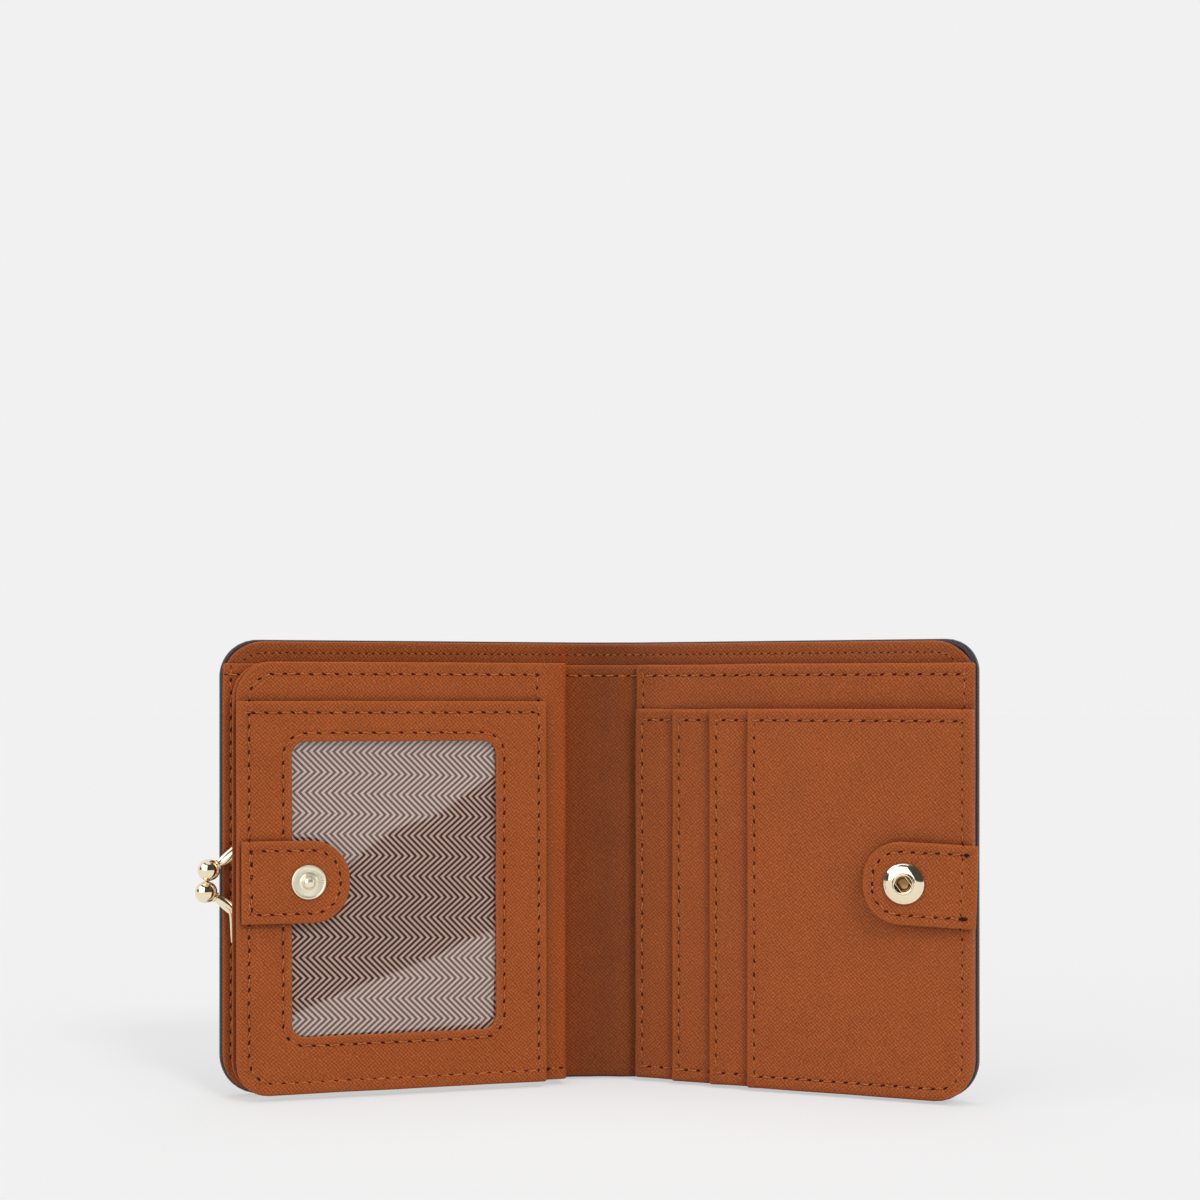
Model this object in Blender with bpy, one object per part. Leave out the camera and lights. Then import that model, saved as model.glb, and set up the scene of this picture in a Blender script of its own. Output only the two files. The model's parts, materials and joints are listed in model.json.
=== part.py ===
# Compact wallet: a cover that folds on a soft spine, a framed coin purse on its left half,
# card pockets on its right half, and a snap fastener on two tabs.
# Metres, +Z up. The wallet stands open on its lower edges with its inside towards -Y.
# Each half is laid out flat: u runs outward from its fold line, d runs forward from the
# cover's outer face, z runs up. Empties on the joint axes then turn the halves and the tabs.
from math import acos, atan2, cos, pi, radians, sin, tan

import bmesh
import bpy
from mathutils import Vector

# Whole wallet
COVER_HEIGHT = 0.110
COVER_WIDTH = 0.0822
SPINE_WIDTH = 0.0244
TOP_CORNER = 0.009
FOOT_CORNER = 0.010
LEFT_OPEN_ANGLE = radians(15)
RIGHT_OPEN_ANGLE = radians(20.5)
LEFT_FOLD_DEPTH = 0.00525
RIGHT_FOLD_DEPTH = 0.004

# Sheet thicknesses and the gaps that keep them apart
SKIN = 0.0008
BOARD = 0.0008
LINING = 0.0005
LEATHER = 0.0006
THIN_LEATHER = 0.0005
CLOTH = 0.0002
SHEET_GAP = 0.0002
FOLD_GAP = 0.00015
METAL_GAP = 0.0001

# Cover layers
BOARD_INSET = 0.002
LINING_INSET = 0.0008
NOTE_GAP = 0.0004
NOTE_WALL_HEIGHT = 0.1034

# Card side
SLIP_OVERHANG = 0.00395
LEAF_STEP = 0.0099
LEAF_COUNT = 4
LEAF_HEIGHT = 0.0924
LEAF_SETBACK = 0.0004

# Purse frame and its rivets
FRAME_DEPTH = 0.0022
FRAME_WIDTH = 0.0035
FRAME_WALL = 0.0005
FRAME_INSET = 0.0005
FRAME_CORNER = 0.005
FRAME_GAP = 0.0002
HINGE_U = 0.003
EAR_RADIUS = 0.002
EAR_CORNER = 0.0014
EAR_THICKNESS = 0.0008
EAR_REACH = 0.0039
EAR_LAP = 0.001
RIVET_RADIUS = 0.0008
RIVET_CLEARANCE = 0.00012
RIVET_HEAD_RADIUS = 0.0014
RIVET_HEAD = 0.0005
ARM_CLEARANCE = 0.0007
WALL_CLEARANCE = 0.0003
GUSSET_DEPTH = 0.014
GUSSET_CLOTH = 0.0003

# Left page on the purse
PAGE_SETBACK = 0.0023
PAGE_HEIGHT = 0.1035
PAGE_FOOT = 0.001
PAGE_CORNER = 0.008
PAGE_START = 0.0042
PLY_STEP = 0.0009
FOLD_OVERHANG = 0.0012
FOLD_TURN = 0.0004
WINDOW_LEAF_HEIGHT = 0.0941
WINDOW_START = 0.0166
WINDOW_WIDTH = 0.0494
WINDOW_FOOT = 0.014
WINDOW_HEIGHT = 0.0704
WINDOW_CORNER = 0.0033
FILM_MARGIN = 0.004
BACKING_MARGIN = 0.0055
CARD_ROOM = 0.0004

# Kiss-lock clasp
BALL_RADIUS = 0.0025
BALL_GAP = 0.0003
BALL_REACH = 0.0062
COLLAR_RADIUS = 0.0016
COLLAR_LENGTH = 0.0006
NECK_RADIUS = 0.0012
NECK_LENGTH = 0.0005
STEM_RADIUS = 0.0009
STEM_ROOT_RADIUS = 0.0011
STEM_RISE = 0.0044
STEM_BEND = 0.0026
FOOT_LENGTH = 0.0095
FOOT_RADIUS = 0.0004
CLASP_HEIGHT = 0.0523

# Tabs and snap fastener
TAB_WIDTH = 0.0196
TAB_CORNER = 0.009
STUD_TAB_SETBACK = 0.0011
SOCKET_TAB_SETBACK = 0.0002
SNAP_HEIGHT = 0.0521
STUD_U = 0.0622
SOCKET_TAB_LIFT = radians(4.5)
STUD_PLATE_RADIUS = 0.00425
STUD_PLATE = 0.0005
STUD_PLATE_EDGE = 0.0003
STUD_HEIGHT = 0.0017
STUD_NECK_HEIGHT = 0.0009
STUD_HEAD_RADIUS = 0.0015
STUD_NECK_RADIUS = 0.0013
SOCKET_RADIUS = 0.0051
SOCKET_RIM_RADIUS = 0.0029
SOCKET_HEIGHT = 0.0018
SOCKET_WALL = 0.0003
SOCKET_EDGE = 0.0004
SOCKET_SHOULDER_RADIUS = 0.0043
SOCKET_SHOULDER = 0.0009
SOCKET_LIP_CLEARANCE = 0.00025
SPRING_WIRE_RADIUS = 0.00022
SPRING_CLEARANCE = 0.00012
SPRING_SPLIT_ANGLE = radians(40)
CAP_RADIUS = 0.0035
CAP_POST_RADIUS = 0.001
CAP_CLEARANCE = 0.0002
POST_ENTRY = 0.00015

# Steps in round shapes, and where a ball leaves its neck
ARC_STEPS = 6
TURN_STEPS = 28
TUBE_SIDES = 14
STEM_STEPS = 6
BALL_STEPS = 9
SPRING_STEPS = 20
BALL_START_ANGLE = radians(36)

# Layer depths, from the cover's outer face forward
FOLD_X = SPINE_WIDTH / 2
SKIN_MIDDLE = SKIN / 2
BOARD_D = SKIN + SHEET_GAP
LINING_D = BOARD_D + BOARD + SHEET_GAP
NOTE_WALL_D = LINING_D + LINING + NOTE_GAP
INSIDE_D = NOTE_WALL_D + LEATHER + SHEET_GAP
FRAME_FRONT_D = INSIDE_D + FRAME_DEPTH + FRAME_GAP
HINGE_D = INSIDE_D + FRAME_DEPTH + FRAME_GAP / 2
PLY_D = FRAME_FRONT_D + FRAME_DEPTH + SHEET_GAP
PAGE_D = PLY_D + THIN_LEATHER + SHEET_GAP
BACKING_D = PAGE_D + THIN_LEATHER + SHEET_GAP
FILM_D = BACKING_D + CLOTH + CARD_ROOM
LEAF_D = FILM_D + CLOTH + SHEET_GAP
STUD_TAB_D = LEAF_D + THIN_LEATHER + SHEET_GAP
CARD_PITCH = LEATHER + SHEET_GAP
SOCKET_TAB_D = INSIDE_D + (LEAF_COUNT + 1) * CARD_PITCH

# Places along u and z
WALL_U = COVER_WIDTH - LINING_INSET
LEAF_U = WALL_U - LEAF_SETBACK
LEAF_START = FOLD_GAP - SLIP_OVERHANG
PAGE_WIDTH = COVER_WIDTH - PAGE_SETBACK
PAGE_EDGE = PAGE_WIDTH - PLY_STEP
PAGE_TOP = PAGE_FOOT + PAGE_HEIGHT
FRAME_U = PAGE_WIDTH - FRAME_INSET
FRAME_FOOT = PAGE_FOOT + FRAME_INSET
FRAME_TOP = PAGE_TOP - FRAME_INSET
ARM_START = HINGE_U + EAR_REACH + ARM_CLEARANCE
SOCKET_U = STUD_U + 2 * (LEFT_FOLD_DEPTH - RIGHT_FOLD_DEPTH)
STUD_TAB_U = PAGE_EDGE - STUD_TAB_SETBACK
SOCKET_TAB_U = LEAF_U - SOCKET_TAB_SETBACK

SIDES = {
    "spine": 1,
    "left_cover": -1,
    "page": -1,
    "stud_tab": -1,
    "right_cover": 1,
    "socket_tab": 1,
}
COLOURS = {
    "tan_leather": ((0.42, 0.135, 0.035), 0.5, 0.0),
    "dark_cover": ((0.025, 0.016, 0.018), 0.55, 0.0),
    "board": ((0.42, 0.38, 0.32), 0.9, 0.0),
    "lining_cloth": ((0.33, 0.26, 0.24), 0.8, 0.0),
    "clear_film": ((0.85, 0.85, 0.85), 0.08, 0.0),
    "gold": ((0.83, 0.62, 0.33), 0.2, 1.0),
}


def flat_place(side, u, d, z):
    """A point of one half, laid flat, in the wallet's frame."""
    return Vector((side * (FOLD_X + u), SKIN_MIDDLE - d, z))


AXES = {
    "spine": Vector((0, 0, 0)),
    "left_cover": flat_place(-1, -LEFT_FOLD_DEPTH, LEFT_FOLD_DEPTH, 0),
    "page": flat_place(-1, HINGE_U, HINGE_D, 0),
    "stud_tab": flat_place(-1, STUD_TAB_U, STUD_TAB_D, 0),
    "right_cover": flat_place(1, -RIGHT_FOLD_DEPTH, RIGHT_FOLD_DEPTH, 0),
    "socket_tab": flat_place(1, SOCKET_TAB_U, SOCKET_TAB_D, 0),
}
CARRIERS = {
    "left_cover": "spine",
    "page": "left_cover",
    "stud_tab": "page",
    "right_cover": "spine",
    "socket_tab": "right_cover",
}
OPEN_ANGLES = {
    "left_cover": LEFT_OPEN_ANGLE,
    "page": 0,
    "stud_tab": 0,
    "right_cover": -RIGHT_OPEN_ANGLE,
    "socket_tab": SOCKET_TAB_LIFT,
}


def clear_scene():
    for old in list(bpy.data.objects):
        bpy.data.objects.remove(old)


def make_material(name):
    colour, roughness, metallic = COLOURS[name]
    material = bpy.data.materials.new(name)
    material.use_nodes = True
    shader = material.node_tree.nodes["Principled BSDF"]
    shader.inputs["Base Color"].default_value = (*colour, 1)
    shader.inputs["Roughness"].default_value = roughness
    shader.inputs["Metallic"].default_value = metallic
    return material


def make_bodies():
    """An empty on each joint's axis, each under the one that carries it."""
    empties = {"spine": bpy.data.objects.new("spine_base", None)}
    bpy.context.collection.objects.link(empties["spine"])
    for body, carrier in CARRIERS.items():
        empty = bpy.data.objects.new(body + "_hinge", None)
        bpy.context.collection.objects.link(empty)
        empty.parent = empties[carrier]
        empty.location = AXES[body] - AXES[carrier]
        empty.rotation_euler.z = OPEN_ANGLES[body]
        empties[body] = empty
    return empties


def add_piece(name, body, mesh_data, material, smooth=False):
    """Turn a bmesh in the flat layout into a named object on its body."""
    bmesh.ops.recalc_face_normals(mesh_data, faces=mesh_data.faces[:])
    bmesh.ops.translate(mesh_data, vec=-AXES[body], verts=mesh_data.verts[:])
    mesh = bpy.data.meshes.new(name)
    mesh_data.to_mesh(mesh)
    mesh_data.free()
    mesh.materials.append(materials[material])
    if smooth:
        mesh.shade_smooth()
        mesh.set_sharp_from_angle(angle=radians(35))
    piece = bpy.data.objects.new(name, mesh)
    bpy.context.collection.objects.link(piece)
    piece.parent = bodies[body]
    return piece


def rounded(corners):
    """Points round a polygon whose corners are (a, b, radius)."""
    points = []
    for index, (a, b, radius) in enumerate(corners):
        here = Vector((a, b))
        if radius == 0:
            points.append(here)
            continue
        back = (Vector(corners[index - 1][:2]) - here).normalized()
        ahead = (Vector(corners[(index + 1) % len(corners)][:2]) - here).normalized()
        half = acos(back.dot(ahead)) / 2
        centre = here + (back + ahead).normalized() * (radius / sin(half))
        reach = radius / tan(half)
        first = here + back * reach - centre
        last = here + ahead * reach - centre
        start = atan2(first.y, first.x)
        turn = (atan2(last.y, last.x) - start + pi) % (2 * pi) - pi
        for step in range(ARC_STEPS + 1):
            angle = start + turn * step / ARC_STEPS
            points.append(centre + radius * Vector((cos(angle), sin(angle))))
    return points


def prism(outline, holes, low, high, place):
    """A flat outline with holes, carried from one height to another."""
    solid = bmesh.new()
    edges = []
    for loop in (outline, *holes):
        verts = [solid.verts.new(place(a, b, low)) for a, b in loop]
        edges += [solid.edges.new((verts[i - 1], verts[i])) for i in range(len(verts))]
    if holes:
        bmesh.ops.triangle_fill(solid, edges=edges, use_beauty=True)
    else:
        solid.faces.new(solid.verts[:])
    grown = bmesh.ops.extrude_face_region(solid, geom=solid.faces[:])["geom"]
    moved = [item for item in grown if isinstance(item, bmesh.types.BMVert)]
    bmesh.ops.translate(solid, vec=place(0, 0, high) - place(0, 0, low), verts=moved)
    return solid


def unit_circle(count):
    turns = [2 * pi * step / count for step in range(count)]
    return [(cos(turn), sin(turn)) for turn in turns]


def circle(a, b, radius):
    return [(a + radius * x, b + radius * y) for x, y in unit_circle(TURN_STEPS)]


def turned(profile, place, is_ring=False):
    """A profile of (radius, height) turned round the line a = b = 0 of a place function."""
    solid = bmesh.new()
    rings = []
    for radius, height in profile:
        if radius == 0:
            rings.append([solid.verts.new(place(0, 0, height))])
        else:
            points = circle(0, 0, radius)
            rings.append([solid.verts.new(place(a, b, height)) for a, b in points])
    pairs = list(zip(rings, rings[1:]))
    if is_ring:
        pairs.append((rings[-1], rings[0]))
    for lower, upper in pairs:
        join_rings(solid, lower, upper)
    return solid


def join_rings(solid, lower, upper):
    """Faces between two rings of points, either of which may be a single point."""
    count = max(len(lower), len(upper))
    for step in range(count):
        after = (step + 1) % count
        corners = [lower[step % len(lower)], lower[after % len(lower)]]
        corners += [upper[after % len(upper)], upper[step % len(upper)]]
        solid.faces.new(list(dict.fromkeys(corners)))


def sheet(name, body, outline, near, thickness, material, holes=()):
    """One flat ply of a half, from its outline in (u, z)."""

    def place(u, z, d):
        return flat_place(SIDES[body], u, d, z)

    solid = prism(outline, holes, near, near + thickness, place)
    return add_piece(name, body, solid, material)


def panel(start, end, foot, top, foot_corner=0, top_corner=0):
    """A panel's outline, with its two outer corners rounded."""
    return rounded(
        [
            (start, foot, 0),
            (end, foot, foot_corner),
            (end, top, top_corner),
            (start, top, 0),
        ]
    )


def build_spine():
    """The soft middle strip of the skin, the lining and the note pocket wall."""
    wall_top = LINING_INSET + NOTE_WALL_HEIGHT
    lining_d = (SKIN + NOTE_WALL_D - LINING) / 2
    layers = (
        ("spine_cover", 0, SKIN, 0, COVER_HEIGHT),
        ("spine_lining", lining_d, LINING, LINING_INSET, COVER_HEIGHT - LINING_INSET),
        ("spine_note_wall", NOTE_WALL_D, LEATHER, LINING_INSET, wall_top),
    )
    for name, near, thickness, foot, top in layers:
        outline = panel(FOLD_GAP - SPINE_WIDTH, -FOLD_GAP, foot, top)
        material = "dark_cover" if name == "spine_cover" else "tan_leather"
        sheet(name, "spine", outline, near, thickness, material)


def build_cover(side_name):
    """The skin, board, lining and note pocket wall of one half."""
    body = side_name + "_cover"
    skin = panel(FOLD_GAP, COVER_WIDTH, 0, COVER_HEIGHT, FOOT_CORNER, TOP_CORNER)
    sheet(body + "_skin", body, skin, 0, SKIN, "dark_cover")
    for part, near, thickness, inset, start, material in (
        ("_board", BOARD_D, BOARD, BOARD_INSET, BOARD_INSET, "board"),
        ("_lining", LINING_D, LINING, LINING_INSET, FOLD_GAP, "tan_leather"),
    ):
        top = COVER_HEIGHT - inset
        corners = (FOOT_CORNER - inset, TOP_CORNER - inset)
        outline = panel(start, COVER_WIDTH - inset, inset, top, *corners)
        sheet(body + part, body, outline, near, thickness, material)
    wall = panel(
        FOLD_GAP,
        WALL_U,
        LINING_INSET,
        LINING_INSET + NOTE_WALL_HEIGHT,
        FOOT_CORNER - LINING_INSET,
    )
    sheet(side_name + "_note_wall", body, wall, NOTE_WALL_D, LEATHER, "tan_leather")


def build_card_pockets():
    """The slip panel and the stepped card leaves in front of it."""
    corner = FOOT_CORNER - LINING_INSET
    top = LINING_INSET + NOTE_WALL_HEIGHT
    slip = panel(LEAF_START, LEAF_U, LINING_INSET, top, corner)
    sheet("slip_panel", "right_cover", slip, INSIDE_D, LEATHER, "tan_leather")
    for number in range(1, LEAF_COUNT + 1):
        start = LEAF_START + (number - 1) * LEAF_STEP
        leaf = panel(start, LEAF_U, LINING_INSET, LINING_INSET + LEAF_HEIGHT, corner)
        near = INSIDE_D + number * CARD_PITCH
        sheet(f"card_leaf_{number}", "right_cover", leaf, near, LEATHER, "tan_leather")


def frame_path():
    """The frame's outer edge: along one arm, round the long side and back."""
    return rounded(
        [
            (ARM_START, FRAME_FOOT, 0),
            (FRAME_U, FRAME_FOOT, FRAME_CORNER),
            (FRAME_U, FRAME_TOP, FRAME_CORNER),
            (ARM_START, FRAME_TOP, 0),
        ]
    )


def channel_section(near):
    """The frame's section as (inward, d) points, open towards the page's middle."""
    far = near + FRAME_DEPTH
    return [
        (0, near),
        (FRAME_WIDTH, near),
        (FRAME_WIDTH, near + FRAME_WALL),
        (FRAME_WALL, near + FRAME_WALL),
        (FRAME_WALL, far - FRAME_WALL),
        (FRAME_WIDTH, far - FRAME_WALL),
        (FRAME_WIDTH, far),
        (0, far),
    ]


def channel(path, section, side):
    """A section swept along a path in (u, z), mitred at its points."""
    solid = bmesh.new()
    rings = []
    last = len(path) - 1
    for index, here in enumerate(path):
        back = (here - path[max(index - 1, 0)]).normalized()
        ahead = (path[min(index + 1, last)] - here).normalized()
        along = (back + ahead).normalized()
        inward = Vector((-along.y, along.x)) / max(back.dot(along), ahead.dot(along))
        ring = []
        for depth_in, d in section:
            point = here + inward * depth_in
            ring.append(solid.verts.new(flat_place(side, point.x, d, point.y)))
        rings.append(ring)
    for lower, upper in zip(rings, rings[1:]):
        join_rings(solid, lower, upper)
    solid.faces.new(rings[0])
    solid.faces.new(rings[-1])
    return solid


def ear_outline(lean):
    """An ear round the rivet, with its neck into the arm behind (-1) or in front (1) of it."""
    inner = HINGE_D + lean * (FRAME_GAP / 2 + METAL_GAP)
    outer = HINGE_D + lean * (FRAME_GAP / 2 + FRAME_DEPTH - METAL_GAP)
    end = ARM_START + EAR_LAP
    return rounded(
        [
            (HINGE_U - EAR_RADIUS, HINGE_D + lean * EAR_RADIUS, EAR_CORNER),
            (HINGE_U - EAR_RADIUS, HINGE_D - lean * EAR_RADIUS, EAR_CORNER),
            (HINGE_U + EAR_RADIUS, HINGE_D - lean * EAR_RADIUS, EAR_CORNER),
            (HINGE_U + EAR_REACH, inner, 0),
            (end, inner, 0),
            (end, outer, 0),
        ]
    )


def hinge_heights():
    """The middle of the ears' stack at each arm, with the way out from the page."""
    half = FRAME_WIDTH / 2
    return ((FRAME_FOOT + half, -1), (FRAME_TOP - half, 1))


def build_frame(name, body, near, lean):
    """One half of the purse frame: a channel with an ear at each end."""
    frame = add_piece(name, body, channel(frame_path(), channel_section(near), -1), "gold")
    hole = circle(HINGE_U, HINGE_D, RIVET_RADIUS + RIVET_CLEARANCE)

    def place(u, d, z):
        return flat_place(-1, u, d, z)

    for middle, out in hinge_heights():
        way = -out * lean
        first = middle + way * FRAME_GAP / 2
        solid = prism(ear_outline(lean), [hole], first, first + way * EAR_THICKNESS, place)
        ear = add_piece(f"{name}_ear_{'top' if out > 0 else 'foot'}", body, solid, "gold")
        join_ear(frame, ear)


def join_ear(frame, ear):
    """Weld an ear to its frame and keep the ear itself as a guide."""
    ear.hide_render = True
    ear.display_type = "WIRE"
    weld = frame.modifiers.new(ear.name, "BOOLEAN")
    weld.operation = "UNION"
    weld.solver = "EXACT"
    weld.object = ear


def build_rivets():
    """A headed pin through each pair of ears."""
    reach = FRAME_GAP / 2 + EAR_THICKNESS + METAL_GAP

    for name, (middle, out) in zip(("rivet_bottom", "rivet_top"), hinge_heights()):

        def place(a, b, height):
            return flat_place(-1, HINGE_U + a, HINGE_D + b, middle + height)

        profile = [
            (0, -reach - RIVET_HEAD),
            (RIVET_HEAD_RADIUS, -reach - RIVET_HEAD),
            (RIVET_HEAD_RADIUS, -reach),
            (RIVET_RADIUS, -reach),
            (RIVET_RADIUS, reach),
            (RIVET_HEAD_RADIUS, reach),
            (RIVET_HEAD_RADIUS, reach + RIVET_HEAD),
            (0, reach + RIVET_HEAD),
        ]
        add_piece(name, "left_cover", turned(profile, place), "gold", smooth=True)


def purse_wall(name, body, frame_near):
    """A purse wall whose three edges lie in the frame's channel."""
    inset = FRAME_WALL + WALL_CLEARANCE
    notch = ARM_START + EAR_LAP + WALL_CLEARANCE
    step = FRAME_WIDTH + WALL_CLEARANCE
    corner = FRAME_CORNER - inset
    outline = rounded(
        [
            (HINGE_U, FRAME_FOOT + step, 0),
            (notch, FRAME_FOOT + step, 0),
            (notch, FRAME_FOOT + inset, 0),
            (FRAME_U - inset, FRAME_FOOT + inset, corner),
            (FRAME_U - inset, FRAME_TOP - inset, corner),
            (notch, FRAME_TOP - inset, 0),
            (notch, FRAME_TOP - step, 0),
            (HINGE_U, FRAME_TOP - step, 0),
        ]
    )
    near = frame_near + (FRAME_DEPTH - LEATHER) / 2
    sheet(name, body, outline, near, LEATHER, "tan_leather")


def build_gussets():
    """Folded cloth that closes the purse's ends between the frame's arms."""
    near = INSIDE_D + (FRAME_DEPTH + LEATHER) / 2 + SHEET_GAP
    far = FRAME_FRONT_D + (FRAME_DEPTH - LEATHER) / 2 - SHEET_GAP
    mouth = FRAME_WIDTH + WALL_CLEARANCE
    for name, edge, way in (("gusset_bottom", FRAME_FOOT, 1), ("gusset_top", FRAME_TOP, -1)):
        start = edge + way * mouth
        crease = start + way * GUSSET_DEPTH
        section = [
            (near, start),
            (near, crease),
            (far, crease),
            (far, start),
            (far - GUSSET_CLOTH, start),
            (far - GUSSET_CLOTH, crease - way * GUSSET_CLOTH),
            (near + GUSSET_CLOTH, crease - way * GUSSET_CLOTH),
            (near + GUSSET_CLOTH, start),
        ]

        def place(d, z, u):
            return flat_place(-1, u, d, z)

        low = ARM_START + EAR_LAP + WALL_CLEARANCE
        solid = prism(section, (), low, FRAME_U - FRAME_CORNER, place)
        add_piece(name, "left_cover", solid, "lining_cloth")


def build_page_fold():
    """The page's inner edge, turned back round the purse to the note pocket wall."""
    far = PAGE_D + THIN_LEATHER
    inner = -FOLD_OVERHANG
    end = PAGE_START - WALL_CLEARANCE
    back_end = HINGE_U - EAR_RADIUS - WALL_CLEARANCE
    outline = rounded(
        [
            (end, far, 0),
            (inner, far, FOLD_TURN + THIN_LEATHER),
            (inner, INSIDE_D, FOLD_TURN + THIN_LEATHER),
            (back_end, INSIDE_D, 0),
            (back_end, INSIDE_D + THIN_LEATHER, 0),
            (inner + THIN_LEATHER, INSIDE_D + THIN_LEATHER, FOLD_TURN),
            (inner + THIN_LEATHER, PAGE_D, FOLD_TURN),
            (end, PAGE_D, 0),
        ]
    )

    def place(u, d, z):
        return flat_place(-1, u, d, z)

    solid = prism(outline, (), PAGE_FOOT, PAGE_TOP, place)
    add_piece("page_fold", "left_cover", solid, "tan_leather")


def window_outline(margin):
    """The window's outline, grown by a margin."""
    corner = WINDOW_CORNER + margin
    low = PAGE_FOOT + WINDOW_FOOT - margin
    high = PAGE_FOOT + WINDOW_FOOT + WINDOW_HEIGHT + margin
    start = WINDOW_START - margin
    end = WINDOW_START + WINDOW_WIDTH + margin
    corners = [(start, low), (end, low), (end, high), (start, high)]
    return rounded([(u, z, corner) for u, z in corners])


def build_page():
    """The plies on the purse's front half, with the window pocket."""
    corner = PAGE_CORNER
    inner_corner = PAGE_CORNER - PLY_STEP
    ply = panel(PAGE_START, PAGE_WIDTH, PAGE_FOOT, PAGE_TOP, corner, corner)
    base = panel(PAGE_START, PAGE_EDGE, PAGE_FOOT, PAGE_TOP, inner_corner, inner_corner)
    leaf_top = PAGE_FOOT + WINDOW_LEAF_HEIGHT
    leaf = panel(PAGE_START, PAGE_EDGE, PAGE_FOOT, leaf_top, inner_corner)
    sheet("page_ply", "page", ply, PLY_D, THIN_LEATHER, "tan_leather")
    sheet("page_base", "page", base, PAGE_D, THIN_LEATHER, "tan_leather")
    sheet("id_backing", "page", window_outline(BACKING_MARGIN), BACKING_D, CLOTH, "lining_cloth")
    sheet("id_film", "page", window_outline(FILM_MARGIN), FILM_D, CLOTH, "clear_film")
    hole = [window_outline(0)]
    sheet("window_leaf", "page", leaf, LEAF_D, THIN_LEATHER, "tan_leather", hole)


def tube(path, tip=None):
    """A round bar through (centre, radius) pairs, pointed at its end where a tip is given."""
    solid = bmesh.new()
    forward = Vector((0, 1, 0))
    last = len(path) - 1
    rings = []
    for index, (centre, radius) in enumerate(path):
        along = path[min(index + 1, last)][0] - path[max(index - 1, 0)][0]
        across = along.cross(forward).normalized()
        upward = across.cross(along).normalized()
        ring = []
        for a, b in unit_circle(TUBE_SIDES):
            ring.append(solid.verts.new(centre + radius * (a * across + b * upward)))
        rings.append(ring)
    for lower, upper in zip(rings, rings[1:]):
        join_rings(solid, lower, upper)
    solid.faces.new(rings[0])
    if tip is None:
        solid.faces.new(rings[-1])
    else:
        join_rings(solid, rings[-1], [solid.verts.new(tip)])
    return solid


def stem_curve(root, bend, end):
    """Points on a curve that leaves its root towards the bend and ends at its end."""
    points = []
    for step in range(STEM_STEPS + 1):
        share = step / STEM_STEPS
        near_root = root.lerp(bend, share)
        points.append(near_root.lerp(bend.lerp(end, share), share))
    return points


def build_knob(name, body, near, way, foot_length):
    """A clasp knob: a foot along the frame, a bent stem, a collar and a ball, in one piece."""
    middle = near + FRAME_DEPTH / 2
    root_u = FRAME_U + METAL_GAP + STEM_ROOT_RADIUS
    foot_u = FRAME_U + METAL_GAP + FOOT_RADIUS
    ball_z = CLASP_HEIGHT + way * (BALL_RADIUS + BALL_GAP / 2)
    root_z = ball_z + way * STEM_RISE
    centre = flat_place(-1, FRAME_U + BALL_REACH, HINGE_D, ball_z)
    root = flat_place(-1, root_u, middle, root_z)
    bend = flat_place(-1, root_u, middle, root_z - way * STEM_BEND)
    into = (centre - bend).normalized()
    ball_start = centre - into * (BALL_RADIUS * cos(BALL_START_ANGLE))
    collar_end = ball_start - into * NECK_LENGTH
    collar_start = collar_end - into * COLLAR_LENGTH
    path = [
        (flat_place(-1, foot_u, middle, root_z + way * foot_length), FOOT_RADIUS),
        (flat_place(-1, foot_u, middle, root_z + way * STEM_BEND), FOOT_RADIUS),
    ]
    for step, point in enumerate(stem_curve(root, bend, collar_start - into * NECK_LENGTH)):
        share = step / STEM_STEPS
        path.append((point, STEM_ROOT_RADIUS + (STEM_RADIUS - STEM_ROOT_RADIUS) * share))
    path.append((collar_start, COLLAR_RADIUS))
    path.append((collar_end, COLLAR_RADIUS))
    path.append((ball_start - into * (NECK_LENGTH / 2), NECK_RADIUS))
    for step in range(BALL_STEPS):
        angle = BALL_START_ANGLE + (pi - BALL_START_ANGLE) * step / BALL_STEPS
        point = centre - into * (BALL_RADIUS * cos(angle))
        path.append((point, BALL_RADIUS * sin(angle)))
    solid = tube(path, centre + into * BALL_RADIUS)
    add_piece(name, body, solid, "gold", smooth=True)


def build_tab(name, body, root_u, snap_u, near):
    """The two plies of a tab, the back one cut away round the snap's cap."""
    half = TAB_WIDTH / 2
    low = SNAP_HEIGHT - half
    high = SNAP_HEIGHT + half
    start = snap_u - half
    outline = rounded(
        [
            (start, low, TAB_CORNER),
            (root_u, low, 0),
            (root_u, high, 0),
            (start, high, TAB_CORNER),
        ]
    )
    cap_hole = circle(snap_u, SNAP_HEIGHT, CAP_RADIUS + CAP_CLEARANCE)
    post_hole = circle(snap_u, SNAP_HEIGHT, CAP_POST_RADIUS + CAP_CLEARANCE)
    sheet(name + "_back", body, outline, near, THIN_LEATHER, "tan_leather", [cap_hole])
    front = near + THIN_LEATHER + SHEET_GAP
    sheet(name + "_front", body, outline, front, THIN_LEATHER, "tan_leather", [post_hole])


def snap_place(body, snap_u, near):
    """A place function for turned snap pieces that stand on a face at depth near."""

    def place(a, b, height):
        return flat_place(SIDES[body], snap_u + a, near + height, SNAP_HEIGHT + b)

    return place


def tab_face(near):
    """The depth at which a snap piece seats on a tab whose back ply starts at near."""
    return near + 2 * THIN_LEATHER + SHEET_GAP + METAL_GAP


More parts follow.
